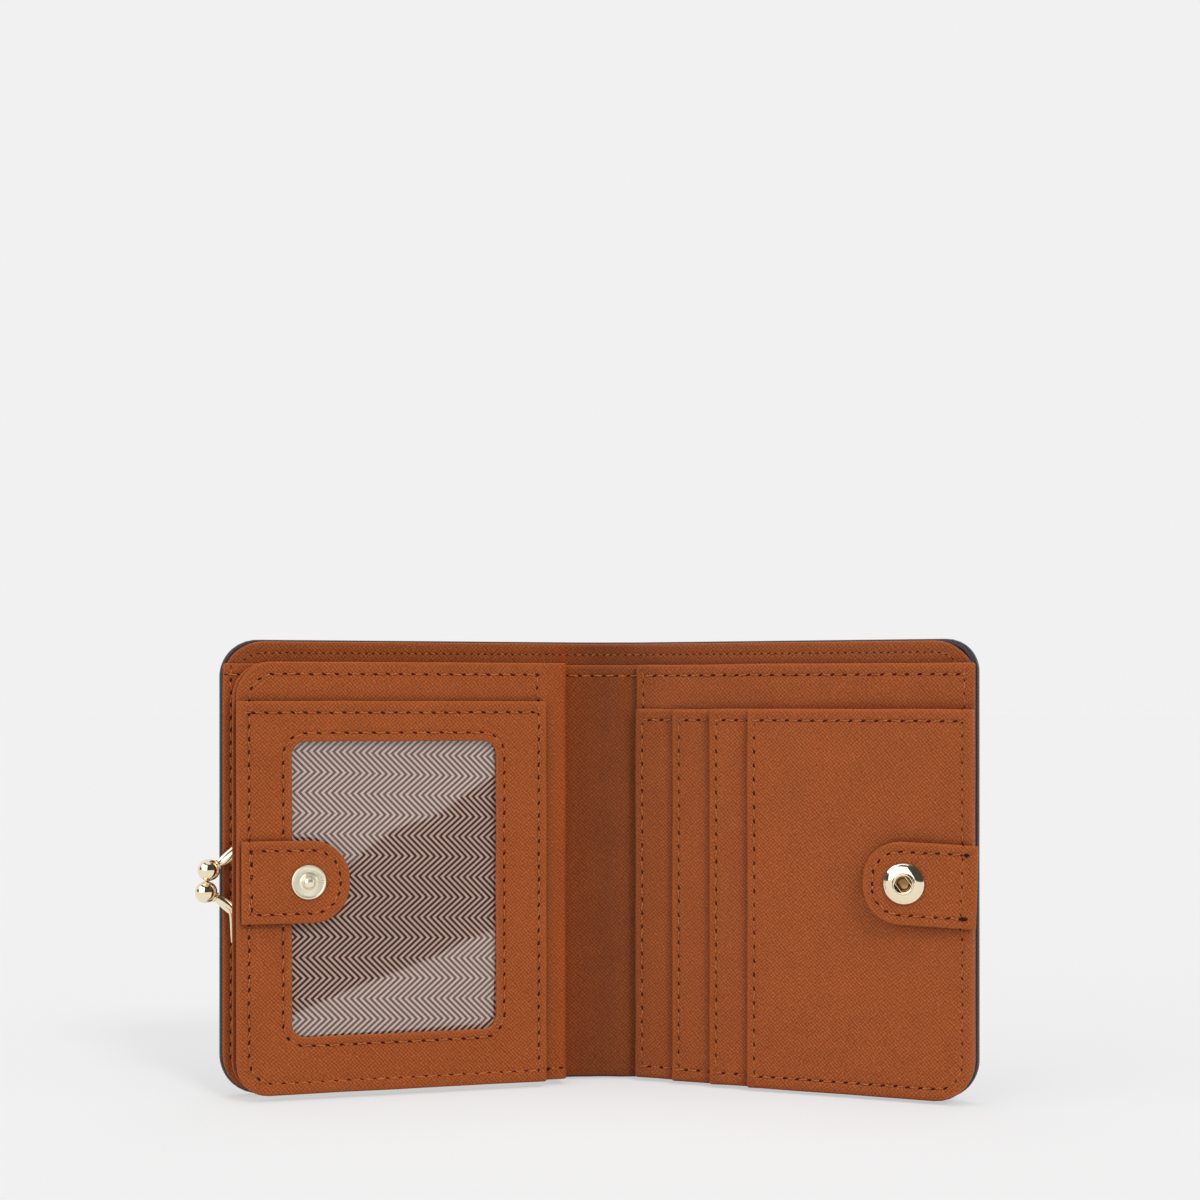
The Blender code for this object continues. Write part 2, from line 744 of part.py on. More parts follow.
def build_cap(name, body, snap_u, near):
    """The cap behind a snap piece, with its post through the tab."""
    post_end = tab_face(near) + POST_ENTRY - near
    profile = [
        (0, 0),
        (CAP_RADIUS, 0),
        (CAP_RADIUS, THIN_LEATHER),
        (CAP_POST_RADIUS, THIN_LEATHER),
        (CAP_POST_RADIUS, post_end),
        (0, post_end),
    ]
    solid = turned(profile, snap_place(body, snap_u, near))
    add_piece(name, body, solid, "gold", smooth=True)


def build_stud():
    """The stud: a plate with a headed pin, bored from behind for the cap's post."""
    bore = CAP_POST_RADIUS + CAP_CLEARANCE
    bore_top = POST_ENTRY + METAL_GAP
    top = STUD_PLATE + STUD_HEIGHT
    neck_top = STUD_PLATE + STUD_NECK_HEIGHT
    profile = [
        (0, bore_top),
        (bore, bore_top),
        (bore, 0),
        (STUD_PLATE_RADIUS, 0),
        (STUD_PLATE_RADIUS, STUD_PLATE_EDGE),
        (STUD_PLATE_RADIUS - STUD_PLATE_EDGE, STUD_PLATE),
        (STUD_NECK_RADIUS, STUD_PLATE),
        (STUD_NECK_RADIUS, neck_top),
        (STUD_HEAD_RADIUS, (neck_top + top) / 2),
        (STUD_NECK_RADIUS, top - METAL_GAP),
        (STUD_NECK_RADIUS - STUD_PLATE_EDGE, top),
        (0, top),
    ]
    solid = turned(profile, snap_place("stud_tab", STUD_U, tab_face(STUD_TAB_D)))
    add_piece("snap_stud", "stud_tab", solid, "gold", smooth=True)


def build_socket():
    """The socket: a domed ring with a raised rim, and the split spring ring inside it."""
    bore = CAP_POST_RADIUS + CAP_CLEARANCE
    lip = STUD_HEAD_RADIUS + SOCKET_LIP_CLEARANCE
    ring = STUD_HEAD_RADIUS + SPRING_CLEARANCE + SPRING_WIRE_RADIUS
    cavity = ring + SPRING_WIRE_RADIUS + METAL_GAP
    lip_under = SOCKET_HEIGHT - SOCKET_WALL
    profile = [
        (bore, 0),
        (SOCKET_RADIUS, 0),
        (SOCKET_RADIUS, SOCKET_EDGE),
        (SOCKET_SHOULDER_RADIUS, SOCKET_SHOULDER),
        (SOCKET_RIM_RADIUS + SOCKET_WALL, SOCKET_SHOULDER),
        (SOCKET_RIM_RADIUS, SOCKET_HEIGHT),
        (lip, SOCKET_HEIGHT),
        (lip, lip_under),
        (cavity, lip_under),
        (cavity, SOCKET_WALL),
        (bore, SOCKET_WALL),
    ]
    place = snap_place("socket_tab", SOCKET_U, tab_face(SOCKET_TAB_D))
    solid = turned(profile, place, is_ring=True)
    add_piece("snap_socket", "socket_tab", solid, "gold", smooth=True)
    path = []
    middle = (SOCKET_WALL + lip_under) / 2
    sweep = 2 * pi - SPRING_SPLIT_ANGLE
    for step in range(SPRING_STEPS + 1):
        angle = sweep * step / SPRING_STEPS
        path.append((place(ring * cos(angle), ring * sin(angle), middle), SPRING_WIRE_RADIUS))
    add_piece("socket_spring", "socket_tab", tube(path), "gold", smooth=True)


def build_purse():
    """The framed coin purse: frame halves, rivets, walls, gussets and the clasp."""
    build_frame("purse_frame_back", "left_cover", INSIDE_D, -1)
    build_frame("purse_frame_front", "page", FRAME_FRONT_D, 1)
    build_rivets()
    purse_wall("purse_back_wall", "left_cover", INSIDE_D)
    purse_wall("purse_front_wall", "page", FRAME_FRONT_D)
    build_gussets()
    build_page_fold()
    build_knob("clasp_knob_back", "left_cover", INSIDE_D, 1, FOOT_LENGTH)
    build_knob("clasp_knob_front", "page", FRAME_FRONT_D, -1, FOOT_LENGTH)


def build_snap():
    """The two tabs with their snap pieces."""
    build_tab("stud_tab", "stud_tab", STUD_TAB_U, STUD_U, STUD_TAB_D)
    build_cap("stud_cap", "stud_tab", STUD_U, STUD_TAB_D)
    build_stud()
    build_tab("socket_tab", "socket_tab", SOCKET_TAB_U, SOCKET_U, SOCKET_TAB_D)
    build_cap("socket_cap", "socket_tab", SOCKET_U, SOCKET_TAB_D)
    build_socket()


clear_scene()
materials = {name: make_material(name) for name in COLOURS}
bodies = make_bodies()
build_spine()
build_cover("left")
build_cover("right")
build_card_pockets()
build_purse()
build_page()
build_snap()
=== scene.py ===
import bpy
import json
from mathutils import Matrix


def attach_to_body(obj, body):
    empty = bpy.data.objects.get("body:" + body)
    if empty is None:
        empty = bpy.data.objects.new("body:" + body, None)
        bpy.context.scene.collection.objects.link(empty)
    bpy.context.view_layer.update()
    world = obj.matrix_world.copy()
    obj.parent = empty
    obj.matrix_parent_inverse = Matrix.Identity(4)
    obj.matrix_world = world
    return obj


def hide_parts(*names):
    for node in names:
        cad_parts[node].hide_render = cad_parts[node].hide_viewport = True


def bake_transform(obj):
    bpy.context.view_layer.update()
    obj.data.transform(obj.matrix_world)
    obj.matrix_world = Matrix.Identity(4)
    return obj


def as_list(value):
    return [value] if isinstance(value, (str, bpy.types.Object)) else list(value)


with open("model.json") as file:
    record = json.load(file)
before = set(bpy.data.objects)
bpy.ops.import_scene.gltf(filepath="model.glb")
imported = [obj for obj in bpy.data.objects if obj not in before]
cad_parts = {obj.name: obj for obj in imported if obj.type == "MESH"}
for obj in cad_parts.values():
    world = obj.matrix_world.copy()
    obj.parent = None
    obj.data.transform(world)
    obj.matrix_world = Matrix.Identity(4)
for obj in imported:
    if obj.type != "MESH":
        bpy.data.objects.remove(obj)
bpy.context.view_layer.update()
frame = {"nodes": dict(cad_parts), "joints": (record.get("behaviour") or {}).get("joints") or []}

import json
from math import acos, cos, exp, pi, radians, sin, sqrt

import bmesh
import bpy
from mathutils import Matrix, Vector, noise

mm = 0.001
nodes = frame["nodes"]
joints = {joint["name"]: joint for joint in frame["joints"]}
signOf = {"left": -1, "right": 1, "socketTab": 1}


# The two halves and the folds

def turnBack(jointName, limit, carrier):
    # from the flat layout to rest: back from one of the joint's limits
    joint = joints[jointName]
    pivot = Matrix.Translation(carrier.inverted() @ (Vector(joint["pos_m"]) / mm))
    turn = Matrix.Rotation(radians(-joint["range_deg"][limit]), 4, Vector(joint["axis"]))
    return carrier @ pivot @ turn @ pivot.inverted()


restMatrix = {half: turnBack(half + "_fold", 0, Matrix()) for half in ("left", "right")}
restMatrix["socketTab"] = turnBack("socket_tab_lift", 1, restMatrix["right"])


def flatBox(node, half):
    # lowest and highest (w, d, z) of a CAD node in its half's flat layout
    back = restMatrix[half].inverted()
    points = [back @ (vertex.co / mm) for vertex in nodes[node].data.vertices]
    flat = [(signOf[half] * point.x, -point.y, point.z) for point in points]
    return [Vector(end(place[axis] for place in flat) for axis in range(3)) for end in (min, max)]


foldLine = flatBox("left_cover_skin", "left")[0].x
bend = {
    "left": (foldLine - 7.5, foldLine - 3.0),  # where the sheet leaves the spine, and meets the half
    "right": (foldLine - 8.0, foldLine - 3.6),
    "sag": 0.35,  # how far the soft spine bows to the back
}
wave = {"height": 0.16, "scale": 0.038, "fine": 0.05, "fineScale": 0.13, "row": 700, "start": 6}


def ripple(half, w, z):
    # the same gentle unevenness for every ply of a half, so that stacked plies stay apart
    spot = Vector((signOf[half] * w, wave["row"], z))
    fine = wave["fine"] * noise.noise(spot * wave["fineScale"])
    return wave["height"] * noise.noise(spot * wave["scale"]) + fine


def placeRigid(half, w, d, z):
    return restMatrix[half] @ Vector((signOf[half] * w, -d, z))


def place(half, w, d, z):
    d += ripple(half, w, z) * min(1, max(0, (w - foldLine) / wave["start"]))
    return placeRigid(half, w, d, z)


def foldPlace(half, w, d, z):
    # a sheet that runs from the spine's middle round the fold into a half
    start, end = bend[half]
    if w >= end:
        return place(half, w, d, z)
    if w <= start:
        sag = bend["sag"] * (1 - min(1, (w / start) ** 2)) ** 2
        return Vector((signOf[half] * w, sag - d, z))
    first = Vector((signOf[half] * start, -d, z))
    last = placeRigid(half, end, d, z)
    out = Vector((signOf[half], 0, 0)) * (last - first).length
    into = restMatrix[half].to_3x3() @ out
    t = (w - start) / (end - start)
    return first.lerp(last, 3 * t**2 - 2 * t**3) + (t**3 - 2 * t**2 + t) * out + (t**3 - t**2) * into


def onFace(half, depth, putter=place):
    return lambda w, z: putter(half, w, depth, z)


# Materials

def fill(tree, node, inputs):
    # a socket is linked, a number or a colour is set
    for key, value in inputs.items():
        if isinstance(value, bpy.types.NodeSocket):
            tree.links.new(value, node.inputs[key])
        else:
            node.inputs[key].default_value = value


def makeMaterial(name):
    material = bpy.data.materials.new(name)
    material.use_nodes = True
    tree = material.node_tree
    return material, tree, tree.nodes["Principled BSDF"]


def addNode(tree, kind, inputs=None, **settings):
    node = tree.nodes.new("ShaderNode" + kind)
    for key, value in settings.items():
        setattr(node, key, value)
    fill(tree, node, inputs or {})
    return node


def mathNode(tree, operation, *values):
    return addNode(tree, "Math", dict(enumerate(values)), operation=operation).outputs[0]


def cutPlace(tree):
    # (across, up, distance to the nearest edge) in millimetres on the flat ply, kept on each as "cut"
    return addNode(tree, "Attribute", attribute_name="cut").outputs["Vector"]


def speckle(tree, where, scale, detail, roughness=0.5):
    inputs = {"Vector": where, "Scale": scale, "Detail": detail, "Roughness": roughness}
    return addNode(tree, "TexNoise", inputs).outputs["Fac"]


def lineWaves(tree, where, angle, period, distortion, detailScale, phase=0.0):
    # parallel waves, one for each period in mm
    turned = addNode(tree, "Mapping", {"Vector": where, "Rotation": (0, 0, radians(angle))})
    inputs = {"Vector": turned.outputs[0], "Scale": 0.314 / period, "Distortion": distortion}
    inputs.update({"Detail": 1.0, "Detail Scale": detailScale, "Phase Offset": phase})
    return addNode(tree, "TexWave", inputs).outputs["Fac"]


def slope(tree, value, start, end, low, high):
    inputs = {"Value": value, "From Min": start, "From Max": end, "To Min": low, "To Max": high}
    return addNode(tree, "MapRange", inputs).outputs[0]


def relief(tree, height, strength, distance, **inputs):
    inputs.update({"Height": height, "Strength": strength, "Distance": distance * mm})
    return addNode(tree, "Bump", inputs).outputs[0]


def ramp(tree, factor, stops):
    node = addNode(tree, "ValToRGB", {"Fac": factor})
    elements = node.color_ramp.elements
    while len(elements) < len(stops):
        elements.new(0.5)
    for element, (position, colour) in zip(elements, stops):
        element.position = position
        element.color = (*colour, 1)
    return node.outputs["Color"]


def grainHeight(tree, where, look):
    # two sets of fine embossed lines that cross, and grit between them
    first, second = [
        lineWaves(tree, where, angle, period, look["distortion"], 1.6)
        for angle, period in zip(look["angles"], look["periods"])
    ]
    lines = mathNode(tree, "MULTIPLY_ADD", second, 0.58, mathNode(tree, "MULTIPLY", first, 0.9))
    scale, roughness, share = look["grit"]
    lineShare, level = look["lines"]
    grit = speckle(tree, where, scale, 4.0, roughness)
    raised = mathNode(tree, "MULTIPLY_ADD", lines, lineShare, level)
    return mathNode(tree, "MULTIPLY_ADD", grit, share, raised)


tanLook = {
    "groove": (0.245, 0.048, 0.008),
    "body": (0.335, 0.074, 0.0145),
    "crest": (0.49, 0.135, 0.036),
    # colour of the painted highlight along each turned rim
    "edge": (0.42, 0.105, 0.024),
    "periods": (0.66, 0.72),  # mm between embossed lines
    "angles": (-43, 48),
    "distortion": 3.6,
    "grit": (1.8, 0.8, 1.3),  # scale, roughness and share of the height
    "lines": (0.48, -0.39),
    "patches": (0.09, 0.26, 0.87),  # scale, spread and lowest shade of worn patches
    "roughness": 0.42,
    "specular": 0.17,
    "bump": 0.75,
    "recess": 4.0,  # how near other leather shades a hollow
    "recessShade": (0.40, 0.22, 0.15),
    # (mm to the right of the spine's middle, shade): painted shade in the fold's hollow and by the card
    # leaves' roots, and a painted warm glow of light bounced round the page's turned edge
    "fold": [
        (-17, (1.0, 1.0, 1.0)), (-11.5, (0.96, 0.88, 0.72)), (-10, (1.0, 0.78, 0.46)),
        (-8.5, (0.82, 0.74, 0.60)), (-5, (0.67, 0.64, 0.58)), (0, (0.58, 0.57, 0.54)),
        (5, (0.65, 0.64, 0.62)), (8, (0.74, 0.74, 0.74)), (16, (0.89, 0.89, 0.89)), (44, (1.0, 1.0, 1.0)),
    ],
    "foldShadeScale": 0.005,  # of the colour ramp, for each mm
    "behind": (104.4, 105.0, 0.83),  # mm up, where the lining shows behind the note wall, and the painted shade there
    "worn": (0.15, 0.9, 0.5),  # mm from the edge, and the share of the painted rim highlight's colour at its rim
}


def makeTan():
    material, tree, shader = makeMaterial("tanLeatherette")
    look = tanLook
    where = cutPlace(tree)
    height = grainHeight(tree, where, look)
    colour = ramp(tree, height, [(0.22, look["groove"]), (0.58, look["body"]), (0.98, look["crest"])])
    scale, spread, lowest = look["patches"]
    shade = mathNode(tree, "MULTIPLY_ADD", speckle(tree, where, scale, 3.0), spread, lowest)
    parts = addNode(tree, "SeparateXYZ", {"Vector": where})
    # painted shade across the spine's fold, set by mm across the flat ply
    across = mathNode(tree, "MULTIPLY_ADD", parts.outputs["X"], look["foldShadeScale"], 0.5)
    fold = ramp(tree, across, [(0.5 + look["foldShadeScale"] * x, tone) for x, tone in look["fold"]])
    # painted shade on the lining's band above the note wall
    start, end, tone = look["behind"]
    shade = mathNode(tree, "MULTIPLY", shade, slope(tree, parts.outputs["Y"], start, end, 1.0, tone))
    foldShaded = addNode(tree, "VectorMath", {0: colour, 1: fold}, operation="MULTIPLY")
    shaded = addNode(tree, "VectorMath", {0: foldShaded.outputs[0], "Scale": shade}, operation="SCALE")
    # a painted highlight along each ply's turned rim, where light catches the round edge
    start, end, rim = look["worn"]
    nearEdge = slope(tree, parts.outputs["Z"], start, end, rim, 0.0)
    tones = {"Factor": nearEdge, "A": shaded.outputs[0], "B": (*look["edge"], 1)}
    rimHighlighted = addNode(tree, "Mix", tones, data_type="RGBA")
    # painted shade where plies meet, darker where other leather closes in
    openness = addNode(tree, "AmbientOcclusion", {"Distance": look["recess"] * mm}, samples=6)
    paintedRecessShade = ramp(tree, openness.outputs["AO"], [(0.15, look["recessShade"]), (0.85, (1.0, 1.0, 1.0))])
    hollowShaded = addNode(tree, "VectorMath", {0: rimHighlighted.outputs["Result"], 1: paintedRecessShade}, operation="MULTIPLY")
    fill(tree, shader, {
        "Base Color": hollowShaded.outputs[0], "Normal": relief(tree, height, look["bump"], 0.1),
        "Roughness": look["roughness"], "Specular IOR Level": look["specular"],
    })
    return material


darkLook = {
    "low": (0.018, 0.011, 0.013), "high": (0.056, 0.039, 0.043), "periods": (0.62, 0.62), "angles": (-45, 45),
    "distortion": 1.5, "grit": (1.3, 0.75, 1.2), "lines": (0.6, -0.45), "roughness": 0.5, "bump": 0.6,
}


def makeDark():
    material, tree, shader = makeMaterial("darkCoatedCloth")
    look = darkLook
    height = grainHeight(tree, cutPlace(tree), look)
    fill(tree, shader, {
        "Base Color": ramp(tree, height, [(0.2, look["low"]), (1.0, look["high"])]),
        "Normal": relief(tree, height, look["bump"], 0.06), "Roughness": look["roughness"],
    })
    return material


herringbone = {
    "band": 4.93,  # mm, height of one row of strokes
    "pitch": 1.56,  # mm between strokes along a row
    "run": 1.05,  # how far a stroke leans for each mm of height
    "tilt": 2.0,  # degrees the woven rows slope
    "topRow": 3.35,
    "dark": (0.055, 0.021, 0.013),
    "pale": (0.79, 0.575, 0.505),
}


def makeHerringbone():
    material, tree, shader = makeMaterial("herringboneLining")
    look = herringbone
    tilted = addNode(tree, "Mapping", {"Vector": cutPlace(tree), "Rotation": (0, 0, radians(look["tilt"]))})
    parts = addNode(tree, "SeparateXYZ", {"Vector": tilted.outputs[0]})
    zig = mathNode(tree, "PINGPONG", mathNode(tree, "ADD", parts.outputs["Y"], look["topRow"]), look["band"])
    along = mathNode(tree, "MULTIPLY_ADD", zig, look["run"], parts.outputs["X"])
    phase = mathNode(tree, "MULTIPLY", along, 2 * pi / look["pitch"])
    stroke = mathNode(tree, "MULTIPLY_ADD", mathNode(tree, "SINE", phase), 0.5, 0.5)
    threads = speckle(tree, cutPlace(tree), 3.5, 2.0)
    worn = mathNode(tree, "MULTIPLY_ADD", threads, 0.2, mathNode(tree, "SUBTRACT", stroke, 0.1))
    fill(tree, shader, {
        "Base Color": ramp(tree, worn, [(0.42, look["dark"]), (0.66, look["pale"])]),
        "Normal": relief(tree, worn, 0.4, 0.05), "Roughness": 0.85,
    })
    return material


filmLook = {
    "colour": (0.97, 0.97, 0.97, 1), "clear": (0.985, 0.975, 0.965, 1), "roughness": 0.06, "gloss": 2.3,
    "lean": 66, "swellLength": 72, "phase": 1.0, "wander": 0.8, "wanderScale": 4.0, "height": 8.0,
}


def makeFilm():
    material, tree, shader = makeMaterial("clearFilm")
    look = filmLook
    # the loose film swells in slanting waves, so its reflections come in patches
    settings = [look[key] for key in ("lean", "swellLength", "wander", "wanderScale", "phase")]
    swell = lineWaves(tree, cutPlace(tree), *settings)
    swollen = relief(tree, swell, 1.0, look["height"])
    fill(tree, shader, {
        "Base Color": look["colour"], "Roughness": look["roughness"], "Metallic": 1.0, "Normal": swollen,
    })
    clear = addNode(tree, "BsdfTransparent", {"Color": look["clear"]})
    gloss = addNode(tree, "Fresnel", {"IOR": 1.55, "Normal": swollen})
    outside = mathNode(tree, "SUBTRACT", 1.0, addNode(tree, "NewGeometry").outputs["Backfacing"])
    share = mathNode(tree, "MULTIPLY", mathNode(tree, "MULTIPLY", gloss.outputs[0], look["gloss"]), outside)
    blended = addNode(tree, "MixShader", {0: share, 1: clear.outputs[0], 2: shader.outputs[0]})
    fill(tree, tree.nodes["Material Output"], {"Surface": blended.outputs[0]})
    return material


goldLook = {
    "colour": (0.94, 0.82, 0.60), "shaded": (0.30, 0.17, 0.07), "studColour": (0.96, 0.89, 0.69),
    "edge": 0.12,  # bevel of its edges
}


def makeGold(name, roughness, colour, metallic=1.0):
    material, tree, shader = makeMaterial(name)
    film = speckle(tree, addNode(tree, "TexCoord").outputs["Object"], 900.0, 2.0)
    soft = addNode(tree, "Bevel", {"Radius": goldLook["edge"] * mm}, samples=6)
    fill(tree, shader, {
        "Roughness": slope(tree, film, 0.0, 1.0, roughness * 0.75, roughness * 1.35),
        "Base Color": ramp(tree, film, [(0.2, tuple(0.96 * part for part in colour)), (0.8, colour)]),
        "Metallic": metallic, "Normal": relief(tree, film, 0.04, 0.02, Normal=soft.outputs[0]),
    })
    return material


def makeThread(name, low, high):
    material, tree, shader = makeMaterial(name)
    twist = speckle(tree, addNode(tree, "TexCoord").outputs["Object"], 2500.0, 2.0)
    fill(tree, shader, {
        "Base Color": ramp(tree, twist, [(0.35, low), (0.65, high)]),
        "Normal": relief(tree, twist, 0.5, 0.05), "Roughness": 0.7, "Specular IOR Level": 0.1,
    })
    return material


def makeBoard():
    material, tree, shader = makeMaterial("greyBoard")
    fibres = speckle(tree, addNode(tree, "TexCoord").outputs["Object"], 900.0, 4.0)
    greys = ramp(tree, fibres, [(0.3, (0.3, 0.27, 0.22)), (0.7, (0.45, 0.41, 0.35))])
    fill(tree, shader, {"Base Color": greys, "Roughness": 0.9})
    return material


materials = {
    "tan": makeTan(),
    "dark": makeDark(),
    "herringbone": makeHerringbone(),
    "film": makeFilm(),
    "gold": makeGold("paleGold", 0.09, goldLook["colour"]),
    "stud": makeGold("brushedGold", 0.19, goldLook["studColour"], 0.68),
    "cavity": makeGold("shadedGold", 0.3, goldLook["shaded"]),
    "thread": makeThread("tanThread", (0.34, 0.085, 0.022), (0.60, 0.20, 0.065)),
    # needle holes: dark lenses painted with the shade inside each hole
    "hole": makeThread("needleHoleShade", (0.05, 0.0075, 0.0025), (0.10, 0.016, 0.005)),
    "backTack": makeThread("backTackThread", (0.014, 0.006, 0.005), (0.045, 0.018, 0.014)),
    "darkThread": makeThread("darkThread", (0.030, 0.021, 0.023), (0.075, 0.055, 0.058)),
    "darkHole": makeThread("darkNeedleHoleShade", (0.006, 0.004, 0.004), (0.012, 0.009, 0.009)),
    "board": makeBoard(),
}
print("materials made")


# Skins between rows of vertices, and what every piece gets at its end

def skin(mesh, rows, closed=True, material=0):
    # faces between neighbouring rows; a row of one vertex is a tip
    for low, high in zip(rows, rows[1:]):
        count = max(len(low), len(high))
        for step in range(count if closed else count - 1):
            after = (step + 1) % count
            corners = ((low, step), (low, after), (high, after), (high, step))
            loop = dict.fromkeys(row[index % len(row)] for row, index in corners)
            mesh.faces.new(list(loop)).material_index = material


def capped(mesh, rings):
    skin(mesh, rings)
    mesh.faces.new(rings[0])
    mesh.faces.new(rings[-1])


def ringAround(mesh, centre, across, up, sides):
    turns = [2 * pi * side / sides for side in range(sides)]
    return [mesh.verts.new(centre + cos(turn) * across + sin(turn) * up) for turn in turns]


def finishPiece(name, mesh, materialNames, slot, cuts=None, sharp=0):
    bmesh.ops.recalc_face_normals(mesh, faces=mesh.faces[:])
    bmesh.ops.scale(mesh, vec=(mm, mm, mm), verts=mesh.verts[:])
    data = bpy.data.meshes.new(name)
    mesh.to_mesh(data)
    mesh.free()
    if cuts:
        layer = data.attributes.new("cut", "FLOAT_VECTOR", "POINT")
        layer.data.foreach_set("vector", [part for cut in cuts for part in cut])
    for materialName in materialNames:
        data.materials.append(materials[materialName])
    data.shade_smooth()
    if sharp:
        data.set_sharp_from_angle(angle=radians(sharp))
    piece = bpy.data.objects.new(name, data)
    bpy.context.scene.collection.objects.link(piece)
    return piece


def attach(piece, body, *replaced):
    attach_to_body(piece, body)
    if replaced:
        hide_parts(*replaced)


def declareSheet(width, length, restsOn):
    width, length = width * mm, length * mm
    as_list(restsOn)


def blendFold(piece, half, d, z):
    start, end = [foldPlace(half, w, d, z) * mm for w in bend[half]]
    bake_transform(piece)
    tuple(start)
    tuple(end)


def blendPurse(piece, start, end):
    start, end = [placeRigid("left", *spot) * mm for spot in (start, end)]
    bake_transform(piece)
    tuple(start)
    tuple(end)


# Plies cut from sheet, with turned, slightly puffed edges

# distances from the edge, close together where it is round and over its seam
edgeRings = [
    0, 0.03, 0.1, 0.22, 0.4, 0.65, 0.95, 1.25, 1.55, 1.8, 2.05, 2.3, 2.55, 2.8, 3.05, 3.3, 3.7, 4.3, 5.5, 8,
]
plyLook = {
    "rim": 0.12,  # least radius of a turned edge
    "padding": 0.35, "seamWidth": 0.4, "uneven": 0.14, "unevenScale": 0.06, "layerScale": 0.9,
    "hemReach": 5, "lastRing": 8, "innerRings": 5, "nearEdge": 3.5, "edgeShare": 0.06,
}


def quarterTurn(centre, radius, startTurn=0, steps=8):
    # points of a quarter circle in (w, z), counterclockwise
    turns = [startTurn + step * pi / 2 / steps for step in range(steps + 1)]
    return [Vector(centre) + radius * Vector((cos(turn), sin(turn))) for turn in turns]


def roundOutline(box, radii, inset, cornerSteps, sideSteps):
    # counterclockwise from the inner foot corner; box is (w0, w1, z0, z1)
    w0, w1, z0, z1 = box[0] + inset, box[1] - inset, box[2] + inset, box[3] - inset
    corners = [(w0, z0, 1, 1), (w1, z0, -1, 1), (w1, z1, -1, -1), (w0, z1, 1, -1)]
    arcs = []
    for index, ((w, z, intoW, intoZ), radius) in enumerate(zip(corners, radii)):
        r = max(radius - inset, 0.15)
        arcs.append(quarterTurn((w + intoW * r, z + intoZ * r), r, pi + index * pi / 2, cornerSteps))
    points = []
    for arc, ahead in zip(arcs, arcs[1:] + arcs[:1]):
        points += arc
        points += [arc[-1].lerp(ahead[0], step / sideSteps) for step in range(1, sideSteps)]
    return points


def roundEdge(distance, radius):
    reach = min(distance / radius, 1)
    return sqrt(max(0, 1 - (1 - reach) ** 2))


def hemSwell(distance, seam, puff, dip):
    # the fold's padded edge rises, and the seam pulls it down
    rise = puff * (1 - exp(-distance / plyLook["padding"])) * exp(-(distance / (seam * 0.95)) ** 4)
    return rise - dip * exp(-(((distance - seam) / plyLook["seamWidth"]) ** 2))


def hems(gaps, seams, puffs, dip):
    return sum(hemSwell(max(gap, 0), seam, puff, dip) for gap, seam, puff in zip(gaps, seams, puffs) if seam)


def plyRings(box, radii, window, steps):
    # outlines from the edge inwards, each with its distance from the edge
    if window:
        reach = [ring for ring in edgeRings if ring < plyLook["hemReach"]]
        rings = [(roundOutline(box, radii, ring, *steps), ring) for ring in reach]
        around = [(roundOutline(window["box"], window["radii"], -ring, *steps), ring) for ring in reach[::-1]]
        for step in (0.33, 0.66):
            between = [a.lerp(b, step) for a, b in zip(rings[len(reach) - 1][0], around[0][0])]
            rings.append((between, plyLook["hemReach"]))
        return rings + around
    deepest = 0.47 * min(box[1] - box[0], box[3] - box[2])
    first, count = plyLook["lastRing"], plyLook["innerRings"]
    inner = [deepest]
    if deepest > first + 2:
        inner = [first + (deepest - first) * step / count for step in range(1, count + 1)]
    reach = [ring for ring in edgeRings if ring < deepest] + inner
    return [(roundOutline(box, radii, ring, *steps), ring) for ring in reach]


def ply(name, half, low, high, radii, seams=(0, 0, 0, 0), finish=("tan", "tan_leather"), puffs=(0.15,) * 4,
        dip=0.13, window=None, putter=place, steps=(7, 16)):
    # seams are the stitch lines' distances from the inner, foot, outer and top edges
    middle, halfThick = (low.y + high.y) / 2, (high.y - low.y) / 2
    mesh = bmesh.new()
    cuts = []

    def surface(point, distance, side):
        w, z = point
        offset = halfThick * roundEdge(distance, max(halfThick, plyLook["rim"]))
        if side > 0:
            gaps = (w - low.x, z - low.z, high.x - w, high.z - z)
            swell = hems(gaps, seams, puffs, dip)
            if window and distance < plyLook["hemReach"] < min(gaps):
                swell += hemSwell(distance, window["seam"], puffs[1], dip)
            offset += swell * roundEdge(distance, plyLook["seamWidth"])
        cuts.append((signOf[half] * w, z, distance))
        layer = middle * plyLook["layerScale"]
        unevenW = plyLook["uneven"] * noise.noise(Vector((z * plyLook["unevenScale"], layer, 0.3)))
        unevenZ = plyLook["uneven"] * noise.noise(Vector((w * plyLook["unevenScale"], layer, 5.3)))
        return mesh.verts.new(putter(half, w + unevenW, middle + side * offset, z + unevenZ))

    front, back = [], []
    for points, distance in plyRings((low.x, high.x, low.z, high.z), radii, window, steps):
        front.append([surface(point, distance, 1) for point in points])
        back.append([surface(point, distance, -1) for point in points] if distance else front[-1])
    for side in (front, back):
        skin(mesh, side)
        if not window:
            mesh.faces.new(side[-1])
    return finishPiece(name, mesh, finish[:1], finish[1], cuts)


def sheetPly(name, node, body, restsOn, half, low, high, radii, **settings):
    # a ply that rides on one body and lies stretched on another piece
    piece = ply(name, half, low, high, radii, **settings)
    attach(piece, body, node)
    declareSheet(high.x - low.x, high.z - low.z, restsOn)


def spread(low, high, edges, step):
    # values from low to high, close together where an edge has to be round
    start = [low + edge for edge in edges[0]]
    end = [high - edge for edge in edges[1]][::-1]
    first = start[-1] if start else low
    last = end[0] if end else high
    count = max(1, round((last - first) / step))
    between = [first + (last - first) * index / count for index in range(count + 1)]
    return start[:-1] + between + end[1:]


def edgeColumns(corner):
    # lines close to an outer edge, and on round its corner
    arc = [corner * (1 - cos(step * pi / 16)) for step in range(1, 9)]
    near = plyLook["nearEdge"]
    return [ring for ring in edgeRings if ring < near] + [line for line in arc if line > near]


def cornerCut(w, outer, radius):
    into = w - (outer - radius)
    return radius - sqrt(max(0, radius**2 - into**2)) if into > 0 else 0


